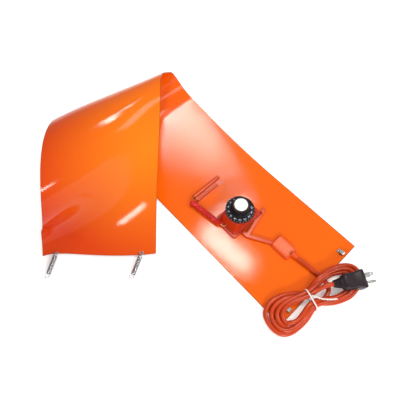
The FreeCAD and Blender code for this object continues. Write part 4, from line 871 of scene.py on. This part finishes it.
# From the band up: width, depth, corner radius, height
BOOT_SECTIONS = (
    (75.0, 53.0, 5.0, 1.5), (75.0, 53.0, 5.0, 3.0), (74.4, 52.4, 4.7, 3.4), (73.6, 51.6, 4.4, 3.55),
    (67.0, 46.4, 5.0, 3.6), (66.6, 46.0, 5.0, 4.0), (66.2, 45.6, 5.0, 5.6), (65.6, 45.0, 4.9, 6.1),
    (64.6, 44.0, 4.8, 6.3), (61.4, 41.8, 5.4, 6.5), (60.4, 41.2, 5.6, 7.2), (58.0, 40.2, 5.8, 12.0),
    (53.6, 38.6, 6.0, 20.0), (49.4, 37.4, 6.0, 27.6), (48.4, 36.9, 6.0, 29.2), (46.8, 35.6, 5.6, 30.4),
    (44.6, 33.6, 5.0, 30.95), (42.6, 31.6, 4.4, 31.0), (30.0, 24.0, 8.0, 31.05), (10.4, 10.4, 5.2, 31.05))
PATCH_SECTIONS = (
    (30.0, 41.0, 5.5, 1.5), (29.8, 40.8, 5.4, 2.6), (29.0, 40.0, 5.2, 4.2), (28.2, 39.2, 5.0, 5.2),
    (25.8, 36.8, 4.4, 7.1), (24.8, 35.8, 4.0, 7.5), (22.8, 33.8, 3.4, 7.5), (22.0, 33.0, 3.2, 7.1),
    (21.2, 32.2, 3.0, 6.7), (10.0, 20.0, 2.6, 6.75), (2.0, 6.0, 1.0, 6.8))
PATCH_FIELD_SECTIONS = 3
COLLAR_PLACE = (1.3, -18.4)
COLLAR_SECTIONS = ((0.0, 5.2), (3.5, 5.2), (5.0, 4.9), (8.0, 4.6), (11.0, 4.3))
COLLAR_HEIGHT = 5.6
COLLAR_LEAN = 0.096


def build_boot():
    """The moulded boot over the thermostat: a stepped flange, tapered walls and a rounded top."""
    matrix = band_matrix(*DIAL)
    rings = [placed(rounded_ring(wide, deep, radius, height, 10), matrix)
             for wide, deep, radius, height in BOOT_SECTIONS]
    boot = make_object("thermostat_boot", *ring_mesh(rings, False, False), MATERIALS["boot"])
    sharpen(boot, 42)
    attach(boot, "band")
    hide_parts("thermostat_cover")
    return boot


def build_patch():
    """The joint's patch: a low block with bevelled sides, a raised border and a sunk, grainy middle."""
    matrix = band_matrix(*PATCH)
    rings = [placed(rounded_ring(wide, deep, radius, height, 8), matrix)
             for wide, deep, radius, height in PATCH_SECTIONS]
    patch = make_object("joint_patch", *ring_mesh(rings, False, True), MATERIALS["patch"])
    patch.data.materials.append(MATERIALS["patch_grain"])
    grain_start = (len(PATCH_SECTIONS) - PATCH_FIELD_SECTIONS) * len(rings[0])
    for polygon in patch.data.polygons:
        if min(polygon.vertices) >= grain_start:
            polygon.material_index = 1
    sharpen(patch, 50)
    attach(patch, "band")
    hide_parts("cord_patch")
    matrix = band_matrix(PATCH[0] + COLLAR_PLACE[0], PATCH[1] + COLLAR_PLACE[1])
    rings = []
    for reach, radius in COLLAR_SECTIONS:
        ring = []
        for index in range(24):
            angle = math.tau * index / 24
            height = max(COLLAR_HEIGHT + radius * math.sin(angle), BAND_THICKNESS + 0.05)
            ring.append(Vector((radius * math.cos(angle) + reach * COLLAR_LEAN, -reach, height)))
        rings.append(placed(ring, matrix))
    collar = make_object("joint_collar", *ring_mesh(rings), MATERIALS["patch"])
    sharpen(collar, 50)
    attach(collar, "band")
    return patch


# The red sleeve's ends: across, along, height
SLEEVE_START = (-50.0, 196.5, 6.95)
SLEEVE_END = (-58.3, 262.0, 6.95)


def build_sleeve(settings):
    """The red sleeve: uneven wound ribs between two sealed lumps."""
    start, end = on_band(*SLEEVE_START), on_band(*SLEEVE_END)
    count = settings.ribs * 10
    side = (end - start).normalized().cross(Vector((0, 0, 1)))
    points, radii = [], []
    for step in range(count + 1):
        share = step / count
        wobble = 0.45 * math.sin(share * 23.0) + 0.25 * math.sin(share * 61.0 + 1.0)
        points.append(start.lerp(end, share) + side * wobble * MM)
        wave = abs(math.sin(math.pi * settings.ribs * share + 0.6 * math.sin(share * 17.0)))
        rib = 4.1 + (1.35 + 0.35 * math.sin(share * 37.0)) * wave ** 0.7
        far_lump = 1.5 * math.exp(-((share - 0.97) / 0.045) ** 2)
        near_lump = 0.9 * math.exp(-((share - 0.02) / 0.05) ** 2)
        lump = far_lump + near_lump
        radii.append((rib + lump * (1.0 - 0.5 * wave)) * MM)
    direction = (end - start).normalized()
    points = [start - direction * 0.002] + points + [end + direction * 0.0022]
    radii = [0.0022] + radii + [0.0026]
    verts, faces = ring_mesh(tube_rings(points, radii, 28))
    sleeve = make_object("wound_sleeve", verts, faces, MATERIALS["sleeve"])
    for vertex in sleeve.data.vertices:
        vertex.co.z = max(vertex.co.z, (BAND_THICKNESS + 0.05) * MM)
    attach(sleeve, "band")
    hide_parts("capillary_sleeve")
    return sleeve


# Dial

# From the shaft outward and up: radius, height, share of the flutes' depth
SKIRT_EDGE = (25.4, 36.45)
SKIRT_TOP = (17.0, 38.3)
DIAL_SECTIONS = (
    (3.2, 34.1, 0.0), (5.0, 34.1, 0.0), (5.2, 38.0, 0.0), (13.0, 38.0, 0.0), (20.0, 35.2, 0.0),
    (20.2, 34.1, 0.0), (26.0, 34.1, 0.0), (26.5, 34.5, 0.0), (26.5, 35.9, 0.0), (26.2, 36.3, 0.0),
    (*SKIRT_EDGE, 0.0), (*SKIRT_TOP, 0.0), (16.2, 38.7, 0.2), (15.6, 39.5, 1.0), (15.4, 43.0, 1.0),
    (15.1, 49.0, 1.0), (14.8, 54.6, 1.0), (14.4, 55.4, 0.8), (13.8, 55.9, 0.3), (12.0, 55.9, 0.0),
    (11.9, 54.4, 0.0), (3.2, 54.3, 0.0))
CAP_SECTIONS = ((11.7, 54.35), (11.8, 54.6), (11.8, 56.2), (11.6, 56.8), (11.1, 57.15), (10.2, 57.3),
                (6.0, 57.38), (2.0, 57.4))
NUMBER_RADIUS = 20.9
NUMBER_SIZE = 3.7
NUMBER_VALUE_STEP = 20
PRINT_LIFT = 0.08
LONG_TICK_START = 23.9
SHORT_TICK_START = 24.5
HALF_TICK = 0.30


def build_dial(settings):
    """The skirted dial with finger flutes, and its white cap."""
    matrix = band_matrix(*DIAL)
    count = settings.flutes * 12
    rings = []
    for radius, height, flute in DIAL_SECTIONS:
        ring = []
        for index in range(count):
            angle = math.tau * index / count
            dip = max(0.0, math.cos(angle * settings.flutes)) ** 1.5
            r = radius - flute * settings.flute_depth / MM * dip
            ring.append(Vector((r * math.cos(angle), r * math.sin(angle), height)))
        rings.append(placed(ring, matrix))
    dial = make_object("thermostat_knob", *ring_mesh(rings, False, False), MATERIALS["dial"])
    sharpen(dial, 45)
    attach(dial, "dial")
    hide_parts("temperature_dial")
    rings = [placed(round_ring(radius, height, 96), matrix) for radius, height in CAP_SECTIONS]
    cap = make_object("knob_cap", *ring_mesh(rings), MATERIALS["white"])
    sharpen(cap, 50)
    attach(cap, "dial")
    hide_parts("dial_cap")
    return matrix


def skirt_height(radius):
    """Height of the skirt's sloping top at a radius."""
    slope = (SKIRT_TOP[1] - SKIRT_EDGE[1]) / (SKIRT_EDGE[0] - SKIRT_TOP[0])
    return SKIRT_EDGE[1] + (SKIRT_EDGE[0] - radius) * slope


def print_point(radius, angle):
    """A point of the print on the skirt."""
    return Vector((radius * math.cos(angle), radius * math.sin(angle), skirt_height(radius) + PRINT_LIFT))


def build_marks(settings, matrix):
    """Numbers and ticks on the skirt, as thin raised print."""
    verts, faces = [], []

    def add(points, polygons):
        offset = len(verts)
        verts.extend(placed(points, matrix))
        faces.extend(tuple(i + offset for i in polygon) for polygon in polygons)

    for index in range(settings.numbers):
        turn = settings.first_number + settings.number_step * index
        text = bpy.data.curves.new("number", "FONT")
        text.body = str(index * NUMBER_VALUE_STEP)
        text.size = NUMBER_SIZE
        text.align_x = "CENTER"
        text.align_y = "CENTER"
        text.resolution_u = 3
        text.offset = 0.05
        holder = bpy.data.objects.new("number", text)
        mesh = bpy.data.meshes.new_from_object(holder)
        points = []
        for vertex in mesh.vertices:
            points.append(print_point(NUMBER_RADIUS + vertex.co.y, turn - vertex.co.x / NUMBER_RADIUS))
        add(points, [tuple(polygon.vertices) for polygon in mesh.polygons])
        bpy.data.objects.remove(holder)
        bpy.data.curves.remove(text)
        bpy.data.meshes.remove(mesh)
    for index in range(settings.numbers * 2 - 1):
        turn = settings.first_number + settings.number_step * index / 2
        inner = LONG_TICK_START if index % 2 == 0 else SHORT_TICK_START
        points = []
        for radius in (inner, SKIRT_EDGE[0]):
            for side in (-1, 1):
                points.append(print_point(radius, turn + side * HALF_TICK / radius))
        add(points, [(0, 1, 3, 2)])
    marks = make_object("dial_numbers", verts, faces, MATERIALS["marks"], smooth=False)
    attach(marks, "dial")
    return marks


# Springs

# The places that the springs turn about, and where their free eyes lie at rest, in metres
HINGES = {joint["child"]: Vector(joint["pos_m"]) for joint in frame["record"]["behaviour"]["joints"]}
MOUNTS = {mount["name"]: Vector(mount["pos_m"]) for mount in frame["record"]["mounts"]}
SPRINGS = ("left_spring", "right_spring")


COIL_RADIUS = 3.7
COIL_LENGTH = 33.0
LEG_LENGTH = 4.0
EYE_TUCK = 0.72
EYE_ARC = math.radians(250.0)
EYE_STEPS = 20
COIL_STEPS = 18


def build_spring(settings, name):
    """A close-wound spring of round wire with an upright inner loop and a flat open eye."""
    hinge = HINGES[name]
    radius, tuck = COIL_RADIUS, EYE_TUCK
    start = radius + LEG_LENGTH
    end = start + COIL_LENGTH
    points = []
    for step in range(EYE_STEPS + 1):
        angle = EYE_ARC * (1.0 - step / EYE_STEPS)
        reach = start - LEG_LENGTH - radius * math.sin(angle)
        points.append(Vector((reach, 0.0, radius * math.cos(angle) - tuck)))
    points.append(Vector((start - 1.2, 0.0, radius - tuck)))
    steps = int(settings.turns * COIL_STEPS)
    for step in range(steps + 1):
        angle = math.pi / 2 + (math.tau * settings.turns - math.pi / 2) * step / steps
        reach = start + COIL_LENGTH * step / steps
        points.append(Vector((reach, radius * math.cos(angle), radius * math.sin(angle))))
    points.append(Vector((end + 1.4, radius - tuck * 0.5, 0.0)))
    for step in range(EYE_STEPS + 1):
        angle = EYE_ARC * step / EYE_STEPS
        reach = end + LEG_LENGTH + radius * math.sin(angle)
        points.append(Vector((reach, radius * math.cos(angle) - tuck, 0.0)))
    toward = MOUNTS[name + "_eye"] - hinge
    lean = math.atan2(toward.y, toward.x) + math.atan2(tuck, COIL_LENGTH + radius + LEG_LENGTH * 2)
    matrix = Matrix.Translation(hinge) @ Matrix.Rotation(lean, 4, "Z")
    verts, faces = ring_mesh(tube_rings(points, settings.wire / 2 / MM, 8))
    spring = make_object(name + "_wire", placed(verts, matrix), faces, MATERIALS["spring"])
    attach(spring, name)
    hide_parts(name)
    return spring


# Stage

WARM_WHITE = (1.0, 0.97, 0.90)
CAMERA_PLACE = Vector((-75.2, -274.2, 621.9)) * MM
CAMERA_AIM = Vector((38.9, 4.0, 0.0)) * MM
CAMERA_LENS = 32.4
FLOOR_HALF = 4.0
FLOOR_DROP = 0.0004


def add_light(name, place, aim, size, power, color=(1.0, 1.0, 1.0)):
    """A soft panel of light turned towards a place."""
    data = bpy.data.lights.new(name, "AREA")
    data.shape = "RECTANGLE"
    data.size, data.size_y = size
    data.energy = power
    data.color = color
    light = bpy.data.objects.new(name, data)
    bpy.context.scene.collection.objects.link(light)
    light.location = place
    light.rotation_euler = (Vector(aim) - Vector(place)).to_track_quat("-Z", "Y").to_euler()
    return light


def build_stage(settings):
    """A pale floor, soft lights and the camera at the photograph's viewing angle."""
    scene = bpy.context.scene
    scene.view_settings.view_transform = "Standard"
    floor_material, tree, shader = new_material("floor", 0.9, specular=0.1)
    tone = group_node(tree, "tone_variation", object_vector(tree), Scale=0.6, Contrast=0.5)
    tone.inputs["Color A"].default_value = (0.93, 0.93, 0.93, 1.0)
    tone.inputs["Color B"].default_value = (0.91, 0.91, 0.91, 1.0)
    tree.links.new(tone.outputs["Color"], shader.inputs["Base Color"])
    shader.inputs["Emission Color"].default_value = (1.0, 1.0, 1.0, 1.0)
    shader.inputs["Emission Strength"].default_value = settings.floor_glow
    half = FLOOR_HALF
    corners = [(-half, -half, 0), (half, -half, 0), (half, half, 0), (-half, half, 0)]
    floor = make_object("floor", corners, [(0, 1, 2, 3)], floor_material, smooth=False)
    floor.location.z = -FLOOR_DROP
    world = bpy.data.worlds.new("studio")
    scene.world = world
    world.use_nodes = True
    surround = world.node_tree.nodes["Background"]
    surround.inputs["Color"].default_value = (1.0, 1.0, 1.0, 1.0)
    surround.inputs["Strength"].default_value = settings.ambient
    add_light("key", (1.3, -0.7, 1.3), (0.05, -0.05, 0.0), (0.7, 0.7), settings.key_power)
    add_light("front", (-0.21, -1.43, 0.74), (-0.09, 0.0, 0.04), (0.60, 0.15), settings.front_power,
              WARM_WHITE)
    strip = add_light("strip", (0.335, 0.310, 1.5), (0.335, 0.310, 0.0), (0.36, 0.11), settings.strip_power,
                      WARM_WHITE)
    strip.rotation_euler = (0.0, 0.0, math.radians(114.0))
    blob = add_light("blob", (0.478, 0.524, 1.5), (0.478, 0.524, 0.0), (0.26, 0.03), settings.blob_power,
                     WARM_WHITE)
    blob.rotation_euler = (0.0, 0.0, math.radians(14.6))
    camera_data = bpy.data.cameras.new("view")
    camera_data.lens = CAMERA_LENS
    camera_data.sensor_width = 36.0
    camera_data.clip_start = 0.01
    camera = bpy.data.objects.new("view", camera_data)
    scene.collection.objects.link(camera)
    camera.location = CAMERA_PLACE
    camera.rotation_euler = (CAMERA_AIM - CAMERA_PLACE).to_track_quat("-Z", "Y").to_euler()
    scene.camera = camera


# The add-on

class HeaterBandSettings(bpy.types.PropertyGroup):
    """The band's sheet and its silicone"""
    columns: IntProperty(name="Columns", description="Faces across the band", default=56)
    rows: IntProperty(name="Rows", description="Faces along the band", default=400)
    color: FloatVectorProperty(name="Color", description="Silicone, where it is brightest", subtype="COLOR",
                               default=(0.82, 0.125, 0.002))
    color_deep: FloatVectorProperty(name="Deep color", description="Silicone, where it is deepest",
                                    subtype="COLOR", default=(0.77, 0.104, 0.002))
    # Painted light: the brighter colour painted on the flap's right side
    flap_light_color: FloatVectorProperty(name="Warm color", description="Silicone on the flap's right side",
                                    subtype="COLOR", default=(0.78, 0.19, 0.004))
    # Painted shade: the darker colour painted on the flap's left side
    flap_shade_color: FloatVectorProperty(name="Flap color", description="Silicone on the flap's left side",
                                    subtype="COLOR", default=(0.50, 0.020, 0.001))
    # Painted shade: the dark line painted along the cut edges
    edge_shade_color: FloatVectorProperty(name="Edge color", description="Line along the cut edges",
                                    subtype="COLOR", default=(0.22, 0.03, 0.006))
    roughness: FloatProperty(name="Roughness", description="Roughness of the silicone", default=0.085)
    relief: FloatProperty(name="Relief", description="Strength of the fabric's imprint", default=0.07)
    threads: FloatProperty(name="Threads", description="Scale of the fabric's imprint", default=150.0)


class HeaterLeadSettings(bpy.types.PropertyGroup):
    """The mains lead and its tie"""
    diameter: FloatProperty(name="Diameter", description="Lead across its jacket", default=0.008,
                            subtype="DISTANCE")
    length: FloatProperty(name="Length", description="Lead from patch to plug", default=1.4,
                          subtype="DISTANCE")
    turns: IntProperty(name="Turns", description="Turns of the hank", default=4)
    fan: FloatProperty(name="Fan", description="How far the turns spread at the loops", default=0.0080,
                       subtype="DISTANCE")
    tie_width: FloatProperty(name="Tie width", description="Ribbon of the tie", default=0.0024,
                             subtype="DISTANCE")


class HeaterControlSettings(bpy.types.PropertyGroup):
    """The dial, the sleeve and the springs"""
    flutes: IntProperty(name="Flutes", description="Finger flutes of the dial", default=20)
    flute_depth: FloatProperty(name="Flute depth", description="Depth of a flute", default=0.0009,
                               subtype="DISTANCE")
    numbers: IntProperty(name="Numbers", description="Numbers on the skirt", default=11)
    first_number: FloatProperty(name="First number", description="Where the first number stands",
                                default=math.radians(75.0), subtype="ANGLE")
    number_step: FloatProperty(name="Number step", description="Turn from one number to the next",
                               default=math.radians(25.0), subtype="ANGLE")
    ribs: IntProperty(name="Ribs", description="Ribs of the red sleeve", default=17)
    wire: FloatProperty(name="Wire", description="Spring wire across", default=0.0012, subtype="DISTANCE")
    turns: FloatProperty(name="Turns", description="Turns of a spring's coil", default=27.0)


class HeaterStageSettings(bpy.types.PropertyGroup):
    """Light and surroundings"""
    ambient: FloatProperty(name="Ambient", description="Light from all round", default=0.55)
    floor_glow: FloatProperty(name="Floor glow", description="Light that the white floor sends up",
                              default=0.22)
    key_power: FloatProperty(name="Key power", description="Soft light from the right", default=10.0)
    strip_power: FloatProperty(name="Strip power", description="Long light seen in the flat end", default=7.0)
    blob_power: FloatProperty(name="Blob power", description="Small light seen in the rising stretch",
                              default=3.2)
    front_power: FloatProperty(name="Front power", description="Low light seen in the flap", default=12.0)


class HEATER_OT_band(bpy.types.Operator):
    """Build the folded silicone band and give the CAD nodes their materials"""
    bl_idname = "heater.band"
    bl_label = "Band"

    def execute(self, context):
        settings = context.scene.heater_band
        make_materials(settings)
        dress_nodes()
        build_band(settings)
        return {"FINISHED"}


class HEATER_OT_lead(bpy.types.Operator):
    """Build the plug, the mains lead and the tie"""
    bl_idname = "heater.lead"
    bl_label = "Mains lead"

    def execute(self, context):
        settings = context.scene.heater_lead
        tie = build_tie(settings)
        build_lead(settings, build_plug() + [tie])
        return {"FINISHED"}


class HEATER_OT_thermostat(bpy.types.Operator):
    """Build the boot, the joint's patch and the red sleeve"""
    bl_idname = "heater.thermostat"
    bl_label = "Thermostat"

    def execute(self, context):
        build_boot()
        build_patch()
        build_sleeve(context.scene.heater_controls)
        return {"FINISHED"}


class HEATER_OT_dial(bpy.types.Operator):
    """Build the dial with its cap and numbers"""
    bl_idname = "heater.dial"
    bl_label = "Dial"

    def execute(self, context):
        settings = context.scene.heater_controls
        build_marks(settings, build_dial(settings))
        return {"FINISHED"}


class HEATER_OT_springs(bpy.types.Operator):
    """Build the two closing springs"""
    bl_idname = "heater.springs"
    bl_label = "Springs"

    def execute(self, context):
        for name in SPRINGS:
            build_spring(context.scene.heater_controls, name)
        return {"FINISHED"}


class HEATER_OT_stage(bpy.types.Operator):
    """Build the floor, the lights and the camera"""
    bl_idname = "heater.stage"
    bl_label = "Stage"

    def execute(self, context):
        build_stage(context.scene.heater_stage)
        return {"FINISHED"}


OPERATORS = (HEATER_OT_stage, HEATER_OT_band, HEATER_OT_lead, HEATER_OT_thermostat, HEATER_OT_dial,
             HEATER_OT_springs)


class HEATER_PT_panel(bpy.types.Panel):
    """Lists the steps and their settings"""
    bl_label = "Band heater"
    bl_idname = "HEATER_PT_panel"
    bl_space_type = "VIEW_3D"
    bl_region_type = "UI"
    bl_category = "Heater"

    def draw(self, context):
        scene = context.scene
        for operator in OPERATORS:
            self.layout.operator(operator.bl_idname)
        for group in (scene.heater_band, scene.heater_lead, scene.heater_controls, scene.heater_stage):
            box = self.layout.box()
            for name in group.__annotations__:
                box.prop(group, name)


GROUP_PROPERTIES = (("heater_band", HeaterBandSettings), ("heater_lead", HeaterLeadSettings),
                    ("heater_controls", HeaterControlSettings), ("heater_stage", HeaterStageSettings))


def register():
    """Makes the settings, steps and panel known."""
    for name, group in GROUP_PROPERTIES:
        bpy.utils.register_class(group)
        setattr(bpy.types.Scene, name, PointerProperty(type=group))
    for operator in OPERATORS:
        bpy.utils.register_class(operator)
    bpy.utils.register_class(HEATER_PT_panel)


def unregister():
    """Takes the settings, steps and panel away again."""
    bpy.utils.unregister_class(HEATER_PT_panel)
    for operator in reversed(OPERATORS):
        bpy.utils.unregister_class(operator)
    for name, group in reversed(GROUP_PROPERTIES):
        delattr(bpy.types.Scene, name)
        bpy.utils.unregister_class(group)


def main():
    """Builds every piece."""
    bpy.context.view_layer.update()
    register()
    bpy.ops.heater.stage()
    bpy.ops.heater.band()
    bpy.ops.heater.lead()
    bpy.ops.heater.thermostat()
    bpy.ops.heater.dial()
    bpy.ops.heater.springs()
    bpy.context.view_layer.update()


if __name__ == "__main__":
    main()
